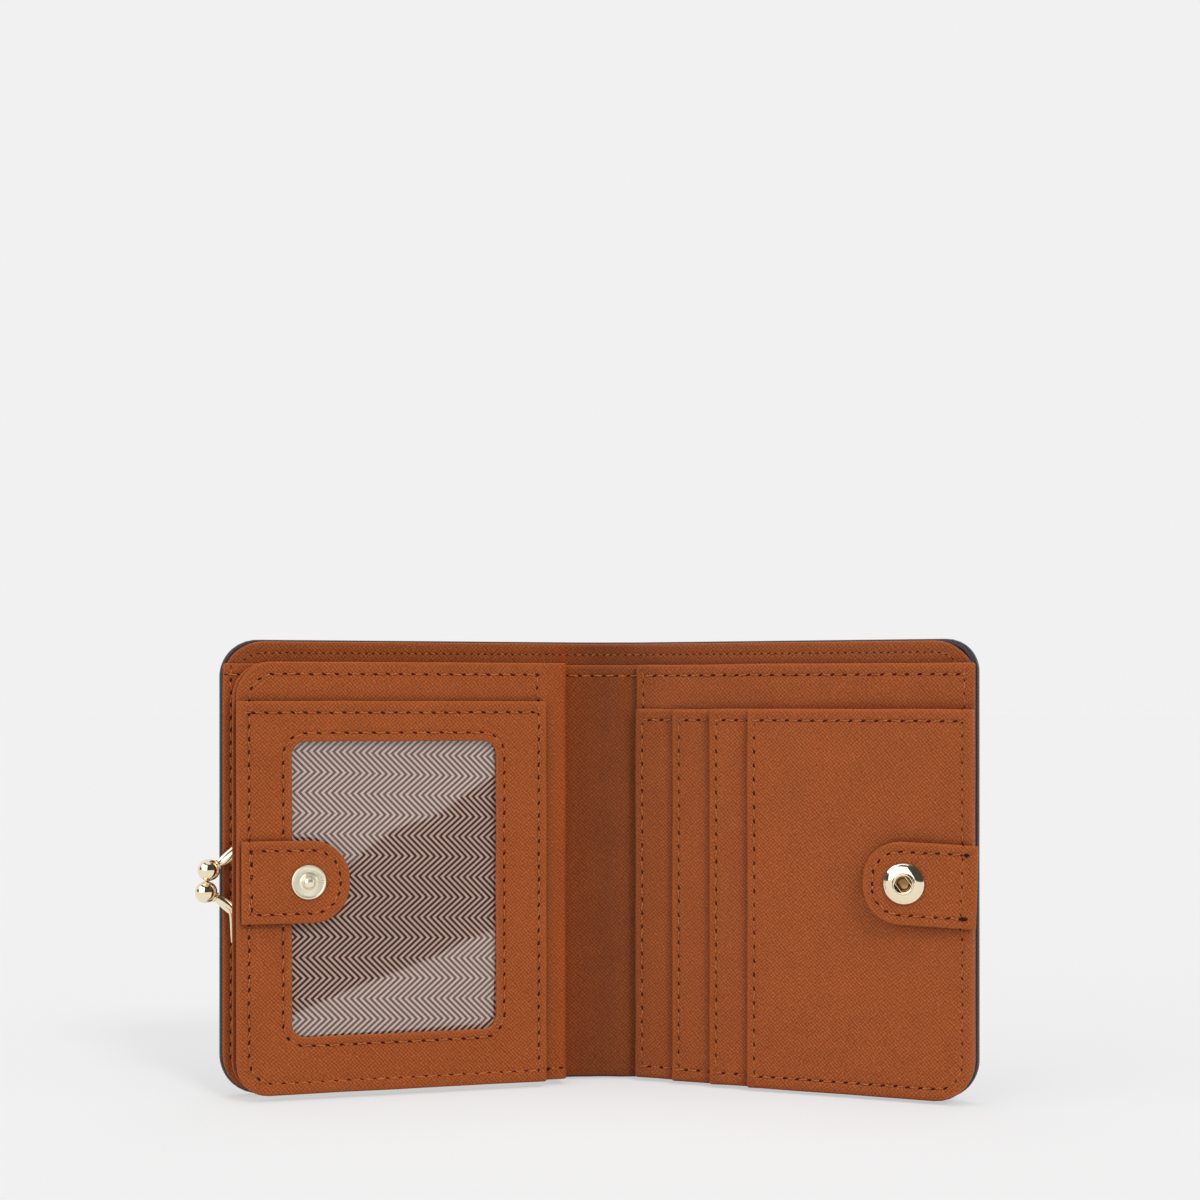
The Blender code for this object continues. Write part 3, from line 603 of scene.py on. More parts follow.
def twoSides(mesh, columns, rows, vertex, openStart=False):
    # a front and a back grid of vertices that share their rims
    sides = []
    for side in (1, -1):
        grid = []
        for i, column in enumerate(columns):
            atEnd = i == len(columns) - 1 or i == 0 and not openStart
            line = []
            for j, share in enumerate(rows):
                isRim = atEnd or j in (0, len(rows) - 1)
                line.append(sides[0][i][j] if side < 0 and isRim else vertex(column, share, side))
            grid.append(line)
        skin(mesh, grid, closed=False)
        sides.append(grid)
    return sides


def heightShares(height):
    ends = [ring / height for ring in edgeRings]
    return spread(0, 1, (ends, ends), plyLook["edgeShare"])


def edgeDistance(w, z, straight, outer, corners):
    # corners are (radius, level, way up) of the two corners at the outer edge
    away = list(straight)
    for radius, level, way in corners:
        centre = Vector((outer - radius, level + way * radius))
        if w > centre.x and (z - centre.y) * way < 0:
            away.append(radius - (Vector((w, z)) - centre).length)
    return max(0, min(away))


def foldingSheet(name, half, box, radii, replaced, restsOn, finish=("tan", "tan_leather"), seams=(0, 0, 0),
                 lip=None):
    # from the spine's middle to a half's outer edge; radii are those of the outer foot and top corners
    low, high = box
    start, end = bend[half]
    outer, foot, top = high.x, low.z, high.z
    middle, halfThick = (low.y + high.y) / 2, (high.y - low.y) / 2
    columns = spread(0, start, ([0], []), 0.5) + spread(start, end, ([], []), 0.55)[1:]
    columns += spread(end, outer, ([], edgeColumns(max(radii))), 6)[1:]
    mesh = bmesh.new()
    cuts = []

    def vertex(w, share, side):
        lowest, highest = foot + cornerCut(w, outer, radii[0]), top - cornerCut(w, outer, radii[1])
        z = lowest + (highest - lowest) * share
        gaps = (outer - w, z - foot, top - z)
        distance = edgeDistance(w, z, gaps, outer, ((radii[0], foot, 1), (radii[1], top, -1)))
        offset = halfThick * roundEdge(distance, max(halfThick, plyLook["rim"]))
        if side > 0:
            offset += hems(gaps, seams, (0.1,) * 3, 0.09) * roundEdge(distance, plyLook["seamWidth"])
        if side > 0 and lip:
            turn = max(0, min(1, (lip["width"] - distance) / lip["slope"]))
            offset += lip["rise"] * turn * turn * (3 - 2 * turn) * roundEdge(distance, lip["rise"] / 2)
        cuts.append((signOf[half] * w, z, distance))
        return mesh.verts.new(foldPlace(half, w, middle + side * offset, z))

    sides = twoSides(mesh, columns, heightShares(top - foot), vertex, openStart=True)
    skin(mesh, [grid[0] for grid in sides], closed=False)
    piece = finishPiece(name, mesh, finish[:1], finish[1], cuts, sharp=65)
    blendFold(piece, half, middle, (foot + top) / 2)
    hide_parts(*replaced)
    declareSheet(outer, top - foot, restsOn)


# Seams: needle holes as dark lenses with painted shade, and a thread that bows from one to the next

seamLook = {
    "pitch": 3.05, "thread": 0.17, "bow": 0.27, "slack": 0.12, "slant": 0.35, "sway": 0.09,
    "hole": (0.6, 0.25, 0.05), "holeRaise": 0.02,  # half length, half width and half height
    "tack": (0.27, 0.3), "tackRaise": 0.2,
    "drawStep": 1000,  # sets the stitches' draws apart
}


def row(points, surface, pitch=seamLook["pitch"], size=1):
    # a row of stitches through (w, z) points on surface(w, z), which gives a place in the scene
    return points, surface, pitch, size


def walk(points, pitch):
    # places at even steps along a line of (w, z) points, as (place, direction)
    lengths = [(b - a).length for a, b in zip(points, points[1:])]
    total = sum(lengths)
    count = max(1, round(total / pitch))
    places = []
    for index in range(count + 1):
        goal = min(index * total / count, total - 1e-6)
        for length, a, b in zip(lengths, points, points[1:]):
            if goal <= length and length > 0:
                places.append((a.lerp(b, goal / length), (b - a).normalized()))
                break
            goal -= length
    return places


def seamFrame(surface, spot, way, facing=1):
    # a place on a surface, the way along it, the way beside that, and the way out to the viewer's side
    step = 0.1
    here = surface(*spot)
    along = (surface(spot.x + way.x * step, spot.y + way.y * step) - here).normalized()
    beside = (surface(spot.x - way.y * step, spot.y + way.x * step) - here).normalized()
    out = along.cross(beside).normalized()
    return here, along, beside, -out if out.y * facing > 0 else out


def addLens(mesh, centre, along, across, out, sizes, material):
    long, wide, high = sizes
    ring = ringAround(mesh, centre, along * long, across * wide, 10)
    tips = [mesh.verts.new(centre + out * rise) for rise in (high, -high)]
    skin(mesh, [tips[:1], ring, tips[1:]], material=material)


def addThread(mesh, points, sideways, radius):
    across = radius * sideways.normalized()
    rings = []
    for before, point, after in zip(points[:1] + points, points, points[1:] + points[-1:]):
        out = (after - before).cross(across).normalized()
        rings.append(ringAround(mesh, point, across, radius * out, 6))
    capped(mesh, rings)


def addStitch(mesh, here, ahead, beside, out, size, tightness, swaySide):
    # the thread between two needle holes
    look = seamLook
    length = (ahead - here).length
    gap = min(0.8 * look["hole"][0], 0.3 * length)
    start, finish = here.lerp(ahead, gap / length), here.lerp(ahead, 1 - gap / length)
    bow = []
    for part in range(6):
        t = part / 5
        rise = size * look["bow"] * tightness * (1 - (2 * t - 1) ** 4) - look["thread"] * 0.95
        sway = look["sway"] * sin(2 * pi * t) * swaySide
        bow.append(start.lerp(finish, t) + out * rise + beside * sway)
    addThread(mesh, bow, beside, look["thread"] * (0.5 + 0.5 * size))


def seams(name, rows, slot="tan_leather", tacks=(), threads=("thread", "hole", "backTack"), facing=1):
    mesh = bmesh.new()
    look = seamLook
    for points, surface, pitch, size in rows:
        places = walk([Vector(point) for point in points], pitch)
        for index, (spot, way) in enumerate(places):
            draw = look["drawStep"] * index
            spot = spot + Vector((-way.y, way.x)) * look["slack"] * noise.noise(Vector((*spot, draw)) * 0.3)
            here, along, beside, out = seamFrame(surface, spot, way, facing)
            slant = look["slant"] * (noise.noise(Vector((spot.y, spot.x, draw)) * 0.25) + 0.6)
            holeAlong = (along + beside * slant).normalized()
            holeBeside = (beside - along * slant).normalized()
            long, wide, high = look["hole"]
            sizes = (size * long, size * wide, high)
            # each needle hole is a dark lens painted with the hole's shade
            addLens(mesh, here + out * look["holeRaise"], holeAlong, holeBeside, out, sizes, 1)
            if index < len(places) - 1:
                tightness = 0.75 + 0.5 * noise.noise(Vector((spot.x, draw, spot.y)) * 0.4)
                ahead = surface(*places[index + 1][0])
                addStitch(mesh, here, ahead, beside, out, size, tightness, 1 if index % 2 else -1)
    for bars, surface in tacks:
        # short bars of stitches sewn over each other
        for a, b in bars:
            start, _, _, out = seamFrame(surface, a, Vector((1, 0)))
            bar = surface(*b) - start
            sizes = (bar.length / 2, *look["tack"])
            across = out.cross(bar).normalized()
            addLens(mesh, start + bar / 2 + out * look["tackRaise"], bar.normalized(), across, out, sizes, 2)
    return finishPiece(name, mesh, threads, slot)


# Covers: dark skin turned in over the boards, lining behind the note pocket, note pocket wall

cover = {
    "rimWidth": 1.7,
    "rimSlope": 0.3,
    "liningSeam": 2.75,
    "liningTop": 0.45,  # below the cover's top edge
    "liningCorner": 9.7,
    "liningPitch": 1.75,
    "liningStitch": 0.55,
    "noteTopSeam": 2.7,
    "noteOuterSeam": 1.9,
    "noteCorner": 0.8,
    "footSeam": 2.9,
    "footCorner": 10,
    "topCorner": {"left": 9, "right": 7.8},
    "outsideSeam": 2.6,
    # how far the skin, lining and note wall end beyond their flat outline
    "reach": {"left": (0.15, 0.3, 0.3), "right": (-1.2, -1.1, -1.0)},
}


def makeCover(half):
    look = cover
    layers = [half + end for end in ("_cover_skin", "_cover_lining", "_note_wall")]
    shell, lining, wall = [flatBox(node, half) for node in layers]
    board = half + "_cover_board"
    for box, reach in zip((shell, lining, wall), look["reach"][half]):
        box[1].x += reach
    lining[1].z = shell[1].z - look["liningTop"]
    footCorner, topCorner = look["footCorner"], look["topCorner"][half]
    innerFoot = footCorner - (shell[1].x - lining[1].x)
    rise = flatBox(board, half)[1].y - shell[1].y
    lip = {"width": look["rimWidth"], "slope": look["rimSlope"], "rise": rise}
    foldingSheet(
        half + "Skin", half, shell, (footCorner, topCorner), (layers[0], "spine_cover"), [board],
        finish=("dark", "dark_cover"), lip=lip,
    )
    foldingSheet(
        half + "Lining", half, lining, (innerFoot, look["liningCorner"]), (layers[1], "spine_lining"),
        [board], seams=(look["liningSeam"], 0, look["liningSeam"]),
    )
    foldingSheet(
        half + "NoteWall", half, wall, (innerFoot, look["noteCorner"]), (layers[2], "spine_note_wall"),
        [half + "Lining"], seams=(look["noteOuterSeam"], look["footSeam"], look["noteTopSeam"]),
    )

    # the lining's seam follows its top edge and round the corner; the note wall's runs straight
    corner = look["liningCorner"] - look["liningSeam"]
    edge, level = lining[1].x - look["liningSeam"], lining[1].z - look["liningSeam"]
    arc = quarterTurn((edge - corner, level - corner), corner)[::-1]
    top = wall[1].z - look["noteTopSeam"]
    noteFace = onFace(half, wall[1].y, foldPlace)
    rows = [
        row([(0, level)] + arc + [(edge, wall[1].z)], onFace(half, lining[1].y, foldPlace),
            look["liningPitch"], look["liningStitch"]),
        row([(0, top), (wall[1].x - 0.8, top)], noteFace),
    ]
    if half == "left":
        edge = wall[1].x - look["noteOuterSeam"]
        rows.append(row([(edge, wall[1].z - 1), (edge, wall[0].z + 9)], noteFace))
    middle = (wall[0].z + wall[1].z) / 2
    blendFold(seams(half + "CoverSeams", rows), half, wall[1].y, middle)

    # the outside is topstitched all round in dark thread
    inset, corners = look["outsideSeam"], (footCorner, footCorner, topCorner, topCorner)
    loop = roundOutline((-shell[1].x, shell[1].x, shell[0].z, shell[1].z), corners, inset, 8, 6)
    line = [(0, shell[0].z + inset)] + [point for point in loop if point.x > 0] + [(0, shell[1].z - inset)]
    topstitch = seams(
        half + "OutsideSeam", [row(line, onFace(half, shell[0].y, foldPlace))], "dark_cover",
        threads=("darkThread", "darkHole"), facing=-1,
    )
    blendFold(topstitch, half, shell[0].y, middle)


makeCover("left")
makeCover("right")
print("covers made")


# Card side: slip panel and four stepped leaves

cards = {
    "hemSeam": 1.75, "puffs": (0.34, 0.15, 0.15, 0.15), "curl": 0.55, "curlReach": 4.5, "topSeam": 2.8,
    "slipTopSeam": 2.7, "outerSeam": 2.55, "outerTrim": 0.4, "outerStitch": 0.6, "footSeam": 2.9,
    "corner": 0.7, "footCorner": 9.2, "leafPitch": 3.45, "leafCount": 4,
}


def cardBox(node):
    low, high = flatBox(node, "right")
    high.x -= cards["outerTrim"]
    return low, high


def placeCurled(edge):
    # a leaf that lifts a little along its free edge
    def put(half, w, d, z):
        return place(half, w, d + cards["curl"] * exp(-max(0, w - edge) / cards["curlReach"]), z)
    return put


def makeCardPly(name, node, restsOn, low, high, seamLines):
    corner, footCorner = cards["corner"], cards["footCorner"]
    putter = placeCurled(low.x)
    sheetPly(name, node, "right_cover", [restsOn], "right", low, high, (corner, footCorner, corner, corner),
             seams=seamLines, puffs=cards["puffs"], putter=putter)
    return onFace("right", high.y, putter), low.x + cards["hemSeam"]


def makeCardSide():
    look = cards
    slip = cardBox("slip_panel")
    leaves = [cardBox(f"card_leaf_{number + 1}") for number in range(look["leafCount"])]
    face, hem = makeCardPly(
        "slipPanel", "slip_panel", "rightNoteWall", *slip, (look["hemSeam"], 0, 0, look["slipTopSeam"]),
    )
    top = slip[1].z - look["slipTopSeam"]
    rows = [
        row([(hem, slip[1].z - 1), (hem, leaves[0][1].z + 0.4)], face),
        row([(hem, top), (slip[1].x - 1, top)], face),
    ]
    under = "slipPanel"
    for number, (low, high) in enumerate(leaves, 1):
        isLast = number == len(leaves)
        seamLines = (look["hemSeam"], look["footSeam"], look["outerSeam"] if isLast else 0, look["topSeam"])
        face, hem = makeCardPly(f"cardLeaf{number}", f"card_leaf_{number}", under, low, high, seamLines)
        under = f"cardLeaf{number}"
        top, foot = high.z - look["topSeam"], low.z + look["footSeam"]
        end = high.x - 1 if isLast else leaves[number][0].x
        rows.append(row([(hem, top - 0.8), (hem, foot + 1)], face, look["leafPitch"]))
        rows.append(row([(low.x + 0.6, top), (end, top)], face))
        if not isLast:
            rows.append(row([(low.x + 0.5, foot), (end, foot)], face))
    # the last leaf's outer seam goes round its foot corner and up past the tab, over all the plies
    radius = look["footCorner"] - look["footSeam"]
    outer = high.x - look["outerSeam"]
    arc = quarterTurn((outer - radius, foot + radius), radius, -pi / 2)
    tabBox = flatBox("socket_tab_back", "right")
    rows.append(row([(low.x + 0.5, foot)] + arc[:3], face))
    for points, surface in (
        (arc[2:] + [(outer, tabBox[0].z)], face),
        ([(outer, tabBox[1].z), (outer, high.z)], face),
        ([(outer, high.z + 0.5), (outer, slip[1].z - 1)], onFace("right", slip[1].y)),
    ):
        rows.append(row(points, surface, size=look["outerStitch"]))
    attach(seams("cardSeams", rows), "right_cover")


makeCardSide()
print("card side made")


# Left page: purse plies, window pocket

page = {
    "corner": 8.5,
    "footRaise": 0.4,
    "seam": 2.9,
    "footSeam": 3.2,
    "innerSeam": 2.0,
    "leafTopSeam": 2.75,
    "pitch": 3.15,
    "windowMargin": 4,  # from the film's edge to the window's
    "windowCorner": 3.3,
    "windowSeam": 2.1,
    "windowPitch": 3.3,
    "clothCorner": 8.8,
    "plyEnd": 1.4,  # the ply's and the window leaf's inner edges, out from the page's turned edge
    "leafEnd": 5.0,
    "foldReach": 0.6,
    "turnRadius": 1.0,
    "tuck": 0.6,  # how far the base lies on the note wall
    "puff": 0.08,
}


def makePageBase():
    # the base ply runs in from the page's outer edge, turns round the inner edge and back to the note wall
    look = page
    low, high = flatBox("page_base", "left")
    fold = flatBox("page_fold", "left")[0]
    outer, foot, top, corner = high.x, low.z + look["footRaise"], high.z, look["corner"]
    halfThick = (high.y - low.y) / 2
    frontD, backD = (low.y + high.y) / 2, fold.y + halfThick
    radius = look["turnRadius"]
    innerW = fold.x + halfThick - look["foldReach"]
    near, far = Vector((innerW + radius, frontD - radius)), Vector((innerW + radius, backD + radius))
    inward = Vector((-1, 0))
    straight = spread(near.x, outer, ([], edgeColumns(corner)), 6)[::-1]
    path = [(Vector((w, frontD)), Vector((0, 1))) for w in straight]
    path += [(spot, (spot - near) / radius) for spot in quarterTurn(near, radius, pi / 2)[1:]]
    path += [(near.lerp(far, step / 3) + radius * inward, inward) for step in range(1, 4)]
    path += [(spot, (spot - far) / radius) for spot in quarterTurn(far, radius, pi)[1:]]
    path.append((Vector((far.x + look["tuck"], backD)), Vector((0, -1))))
    run = [0]
    for (a, _), (b, _) in zip(path, path[1:]):
        run.append(run[-1] + (b - a).length)
    mesh = bmesh.new()
    cuts = []

    def vertex(station, share, side):
        (spot, out), gone = station
        cutBack = cornerCut(spot.x, outer, corner)
        z = foot + cutBack + (top - foot - 2 * cutBack) * share
        gaps = (gone, run[-1] - gone, z - foot, top - z)
        distance = edgeDistance(spot.x, z, gaps, outer, ((corner, foot, 1), (corner, top, -1)))
        offset = side * halfThick * roundEdge(distance, halfThick)
        if side > 0 and gone < outer - innerW:
            swell = hemSwell(top - z, look["seam"], look["puff"], look["puff"])
            offset += swell * roundEdge(distance, plyLook["seamWidth"])
        point = spot + out * offset
        cuts.append((gone - outer, z, distance))
        return mesh.verts.new(place("left", point.x, point.y, z))

    twoSides(mesh, list(zip(path, run)), heightShares(top - foot), vertex)
    piece = finishPiece("pageBase", mesh, ["tan"], "tan_leather", cuts)
    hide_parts("page_base", "page_fold")
    declareSheet(run[-1], top - foot, ["purseFrontWall"])
    z = (foot + top) / 2
    blendPurse(piece, (innerW, backD, z), (innerW, frontD - 0.2, z))


def makePage():
    look, half, body = page, "left", "page"
    turned = flatBox("page_fold", half)[0].x
    low, high = flatBox("page_ply", half)
    low += Vector((turned + look["plyEnd"] - low.x, 0, look["footRaise"]))
    corner = look["corner"]
    sheetPly("pagePly", "page_ply", body, ["purse_frame_front"], half, low, high, (0.5, corner, corner, 0.5))
    makePageBase()

    low, high = flatBox("window_leaf", half)
    low += Vector((turned + look["leafEnd"] - low.x, 0, look["footRaise"]))
    film, backing = flatBox("id_film", half), flatBox("id_backing", half)
    margin = look["windowMargin"]
    window = {
        "box": (film[0].x + margin, film[1].x - margin, film[0].z + margin, film[1].z - margin),
        "radii": (look["windowCorner"],) * 4,
        "seam": look["windowSeam"],
    }
    corner = look["corner"] - 0.9
    seamLines = (look["innerSeam"], look["footSeam"], look["seam"], look["leafTopSeam"])
    sheetPly("windowLeaf", "window_leaf", body, ["pageBase"], half, low, high, (0.6, corner, 0.6, 0.6),
             seams=seamLines, window=window)
    filmCorner = look["windowCorner"] + margin
    sheetPly("clearWindow", "id_film", body, ["windowLeaf"], half, *film, (filmCorner,) * 4,
             finish=("film", "clear_film"))
    sheetPly("herringboneCloth", "id_backing", body, ["pageBase"], half, *backing, (look["clothCorner"],) * 4,
             finish=("herringbone", "lining_cloth"))

    # the perimeter seam goes round the leaf, with its top line on the base behind
    base, tabBox = flatBox("page_base", half), flatBox("stud_tab_back", half)
    baseFace, leafFace = onFace(half, base[1].y), onFace(half, high.y)
    outer, top, foot = base[1].x - look["seam"], base[1].z - look["seam"], base[0].z + look["footSeam"]
    radius = corner - look["seam"] + 1.6
    topArc = quarterTurn((outer - radius, top - radius), radius)[::-1]
    footArc = quarterTurn((outer - radius, foot + radius), radius, -pi / 2)[::-1]
    inner = low.x + look["innerSeam"]
    rows = [row(points, surface, look["pitch"]) for points, surface in (
        ([(inner, top)] + topArc + [(outer, high.z)], baseFace),
        ([(inner, top), (inner, high.z)], baseFace),
        ([(outer, high.z), (outer, tabBox[1].z)], leafFace),
        ([(outer, tabBox[0].z)] + footArc + [(inner, foot)], leafFace),
        ([(inner, high.z), (inner, foot)], leafFace),
        ([(inner, foot), (low.x, foot)], leafFace),
        ([(low.x - 0.8, foot), (low.x - 4, foot)], baseFace),
    )]
    leafTop = high.z - look["leafTopSeam"]
    rows.append(row([(low.x + 0.5, leafTop), (high.x - 0.8, leafTop)], leafFace))
    ring = roundOutline(window["box"], window["radii"], -window["seam"], 7, 6)
    rows.append(row(ring + ring[:1], leafFace, look["windowPitch"]))
    attach(seams("pageSeams", rows), body)


makePage()
print("page made")


# Purse frame: a rolled channel round three sides, with an ear at each end

frameLook = {
    "corner": 7.4, "width": 3.5, "depth": 2.2, "wall": 0.5, "roll": 0.55, "gap": 0.2, "armStart": 7.6,
    "hinge": 3.0, "earRadius": 2.0, "earReach": 6.9, "earLap": 1.0, "earThick": 0.8, "earTurn": radians(225),
}


def makeFrame(name, node, body, lean, hingeD):
    look = frameLook
    low, high = flatBox(node, "left")
    width, wall, r, c = look["width"], look["wall"], look["roll"], look["corner"]
    near = hingeD + look["gap"] / 2 if lean > 0 else hingeD - look["gap"] / 2 - look["depth"]
    far = near + look["depth"]
    rolled = quarterTurn((r, near + r), r, pi, 5)[::-1] + quarterTurn((r, far - r), r, pi / 2, 5)[::-1]
    section = [(width, near), *rolled, (width, far), (width, far - wall), (wall, far - wall)]
    section += [(wall, near + wall), (width, near + wall)]
    arm = foldLine + look["armStart"]
    stations = [(Vector((arm, low.z)), Vector((0, 1)))]
    for level, startTurn in ((low.z + c, -pi / 2), (high.z - c, 0)):
        centre = Vector((high.x - c, level))
        stations += [(spot, (centre - spot) / c) for spot in quarterTurn(centre, c, startTurn, 12)]
    stations.append((Vector((arm, high.z)), Vector((0, -1))))
    mesh = bmesh.new()
    rings = []
    for point, inward in stations:
        spots = [(point + inward * into, d) for into, d in section]
        rings.append([mesh.verts.new(placeRigid("left", spot.x, d, spot.y)) for spot, d in spots])
    capped(mesh, rings)

    hinge, radius = foldLine + look["hinge"], look["earRadius"]
    inner, outer = hingeD + lean * look["gap"], hingeD + lean * (look["depth"] - look["gap"] / 2)
    turns = [-pi / 2 - step * look["earTurn"] / 16 for step in range(17)]
    outline = [(arm + look["earLap"], outer)]
    outline += [(hinge + radius * cos(turn), hingeD - lean * radius * sin(turn)) for turn in turns]
    outline += [(foldLine + look["earReach"], inner), (arm + look["earLap"], inner)]
    for level, out in ((low.z, -1), (high.z, 1)):
        way = -out * lean
        first = level - out * width / 2 + way * look["gap"] / 2
        levels = (first, first + way * look["earThick"])
        capped(mesh, [[mesh.verts.new(placeRigid("left", w, d, z)) for w, d in outline] for z in levels])
    attach(finishPiece(name, mesh, ["gold"], "gold_metal", sharp=40), body, node)


# Clasp: two balls on bent stems

clasp = {
    "ballRadius": 2.63, "ballStart": radians(30), "ballSteps": 24, "flat": 0.78, "sides": 48, "stemSteps": 7,
    "groove": 0.32, "grooveSpan": 0.4, "grooveTurn": 0.5,
    "offset": {1: -0.5, -1: 0.12},  # the balls sit a little out of line
    "neck": (0.55, 0.8),  # before the ball's start, and radius
    "collar": 1.35, "collarReach": 0.5, "collarStep": 0.1, "collarRound": 0.16,
    # (in towards the page, up from the ball's middle, radius)
    "stem": [(8.4, 6.1, 1.25), (6.7, 4.8, 1.3), (5.1, 3.5, 1.3), (3.9, 2.5, 1.22), (3.05, 1.86, 1.05)],
    "foot": [
        (4.3, 3.4, 0.42), (5.2, 4.2, 0.5), (5.8, 5.3, 0.48),
        (5.95, 7.2, 0.42), (6.0, 9.6, 0.36), (6.05, 12.2, 0.2),
    ],
    "footDepth": 0.35, "footFlat": 0.9, "footSides": 16,
}


def smoothLine(stations, steps):
    # a smooth line through (w, up, radius) stations
    line = []
    last = len(stations) - 1
    for index in range(last):
        a, b, c, e = [Vector(stations[max(0, min(last, index + shift))]) for shift in (-1, 0, 1, 2)]
        for t in [step / steps for step in range(steps)]:
            square, cube = (2 * a - 5 * b + 4 * c - e) * t**2, (3 * b - a - 3 * c + e) * t**3
            line.append(0.5 * (2 * b + (c - a) * t + square + cube))
    return line + [Vector(stations[last])]


def sweep(mesh, path, sides, groove=0, grooveAt=0):
    # a bar through (centre, radius, flatness) stations, with a groove along its front
    forward = restMatrix["left"].to_3x3() @ Vector((0, -1, 0))
    rings = []
    for before, (centre, radius, flat), after in zip(path[:1] + path, path, path[1:] + path[-1:]):
        along = after[0] - before[0]
        across = along.cross(forward).normalized()
        upward = across.cross(along).normalized()
        ring = []
        for turn in [2 * pi * side / sides for side in range(sides)]:
            cut = 1 - groove * (flat < 1) * exp(-(((turn - grooveAt) / clasp["grooveSpan"]) ** 2))
            out = cos(turn) * across + flat * sin(turn) * upward
            ring.append(mesh.verts.new(centre + radius * cut * out))
        rings.append(ring)
    capped(mesh, rings)


def makeKnob(name, node, body, way):
    low, high = flatBox(node, "left")
    look = clasp
    cadRadius = (high.y - low.y) / 2
    ball = Vector((high.x - cadRadius + look["offset"][way], (low.y + high.y) / 2, low.z + cadRadius))
    if way < 0:
        ball.z = high.z - cadRadius

    def stem(stations, depth, flat):
        line = smoothLine(stations, look["stemSteps"])
        spots = [(ball + Vector((-inward, depth, way * up)), radius) for inward, up, radius in line]
        return [(placeRigid("left", *spot), radius, flat) for spot, radius in spots]

    centre, radius = placeRigid("left", *ball), look["ballRadius"]
    path = stem(look["stem"], 0, look["flat"])
    into = (centre - path[-1][0]).normalized()
    begin = centre - into * radius * cos(look["ballStart"])
    path.append((begin - into * look["neck"][0], look["neck"][1], 1))
    for step in range(5):
        swell = look["collarRound"] * abs(step - 2) ** 1.5 / 2.8
        reach = look["collarReach"] - look["collarStep"] * step
        path.append((begin - into * reach, look["collar"] - swell, 1))
    for step in range(look["ballSteps"]):
        angle = look["ballStart"] + (pi - look["ballStart"]) * step / look["ballSteps"]
        path.append((centre - into * radius * cos(angle), radius * sin(angle), 1))
    mesh = bmesh.new()
    sweep(mesh, path, look["sides"], look["groove"], pi / 2 - way * look["grooveTurn"])
    if way < 0:
        sweep(mesh, stem(look["foot"], look["footDepth"], look["footFlat"]), look["footSides"])
    attach(finishPiece(name, mesh, ["gold"], "gold_metal", sharp=60), body, node)


# Purse: walls in the frame, and folded end cloths

purse = {"cloth": 0.25, "mouthCorner": 14, "corner": 6.6, "roundSteps": 24, "lengthSteps": 20, "clothEdge": 2}


def makeWall(name, node, body, frameNode):
    mouth, corner = purse["mouthCorner"], purse["corner"]
    sheetPly(name, node, body, [frameNode], "left", *flatBox(node, "left"), (mouth, corner, corner, mouth),
             putter=placeRigid)


def border(grid):
    return [line[0] for line in grid] + grid[-1][1:] + [line[-1] for line in grid[-2::-1]] + grid[0][-2:0:-1]


def makeGusset(name, node, mouthUp):
    low, high = flatBox(node, "left")
    cloth, steps = purse["cloth"], purse["roundSteps"]
    mouth, crease = (high.z, low.z) if mouthUp else (low.z, high.z)
    line = []
    for t in [step / steps for step in range(steps + 1)]:
        d = low.y + cloth + (high.y - low.y - 2 * cloth) * t
        line.append(Vector((d, mouth + (crease - mouth) * (1 - abs(2 * t - 1) ** 3))))
    mesh = bmesh.new()
    cuts = []
    sides = []
    for offset in (cloth / 2, -cloth / 2):
        grid = []
        for step in range(purse["lengthSteps"] + 1):
            w = low.x + (high.x - low.x) * step / purse["lengthSteps"]
            strip = []
            for before, spot, after in zip(line[:1] + line, line, line[1:] + line[-1:]):
                along = (after - before).normalized()
                point = spot + Vector((-along.y, along.x)) * offset
                cuts.append((-w, point.y, purse["clothEdge"]))
                strip.append(mesh.verts.new(placeRigid("left", w, *point)))
            grid.append(strip)
        skin(mesh, grid, closed=False)
        sides.append(grid)
    skin(mesh, [border(grid) for grid in sides])
    gusset = finishPiece(name, mesh, ["herringbone"], "lining_cloth", cuts)
    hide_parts(node)
    length = 2 * (high.z - low.z) + high.y - low.y
    declareSheet(high.x - low.x, length, ["purseBackWall", "purseFrontWall"])
    w, z = (low.x + high.x) / 2, (low.z + high.z) / 2
    blendPurse(gusset, (w, low.y, z), (w, high.y, z))


hingeDepth = sum(corner.y for corner in flatBox("rivet_top", "left")) / 2
makeFrame("purseFrameBack", "purse_frame_back", "left_cover", -1, hingeDepth)
makeFrame("purseFrameFront", "purse_frame_front", "page", 1, hingeDepth)
makeKnob("upperKnob", "clasp_knob_back", "left_cover", 1)
makeKnob("lowerKnob", "clasp_knob_front", "page", -1)
makeWall("purseBackWall", "purse_back_wall", "left_cover", "purse_frame_back")
makeWall("purseFrontWall", "purse_front_wall", "page", "purse_frame_front")
makeGusset("gussetFoot", "gusset_bottom", False)
makeGusset("gussetTop", "gusset_top", True)
print("frame, clasp and purse made")


# Tabs with stud and socket

tab = {
    "seam": 2.3, "corner": 9.0, "rootCorner": 0.4, "pitch": 2.95, "rootPitch": 3.15, "rootStitch": 0.7,
    "puff": 0.12, "dip": 0.10, "lean": radians(2.0),
    "joint": 0.05,  # nearer points of the seam's line count as one
    "rootReach": {"Front": 0.9, "Back": -0.45},  # the sewn-on tab covers the leaf's edge
    # of a back tack's two bars beside the root seam: (start out, start up, end out, end up)
    "topTacks": [(0.3, 0.1, 1.5, 0), (0.6, -0.25, 1.2, -0.2)],
    "footTacks": [(-0.5, -0.1, 1.7, 0), (-0.2, 0.25, 1.4, 0.2)],
}
socketBox = flatBox("snap_socket", "socketTab")


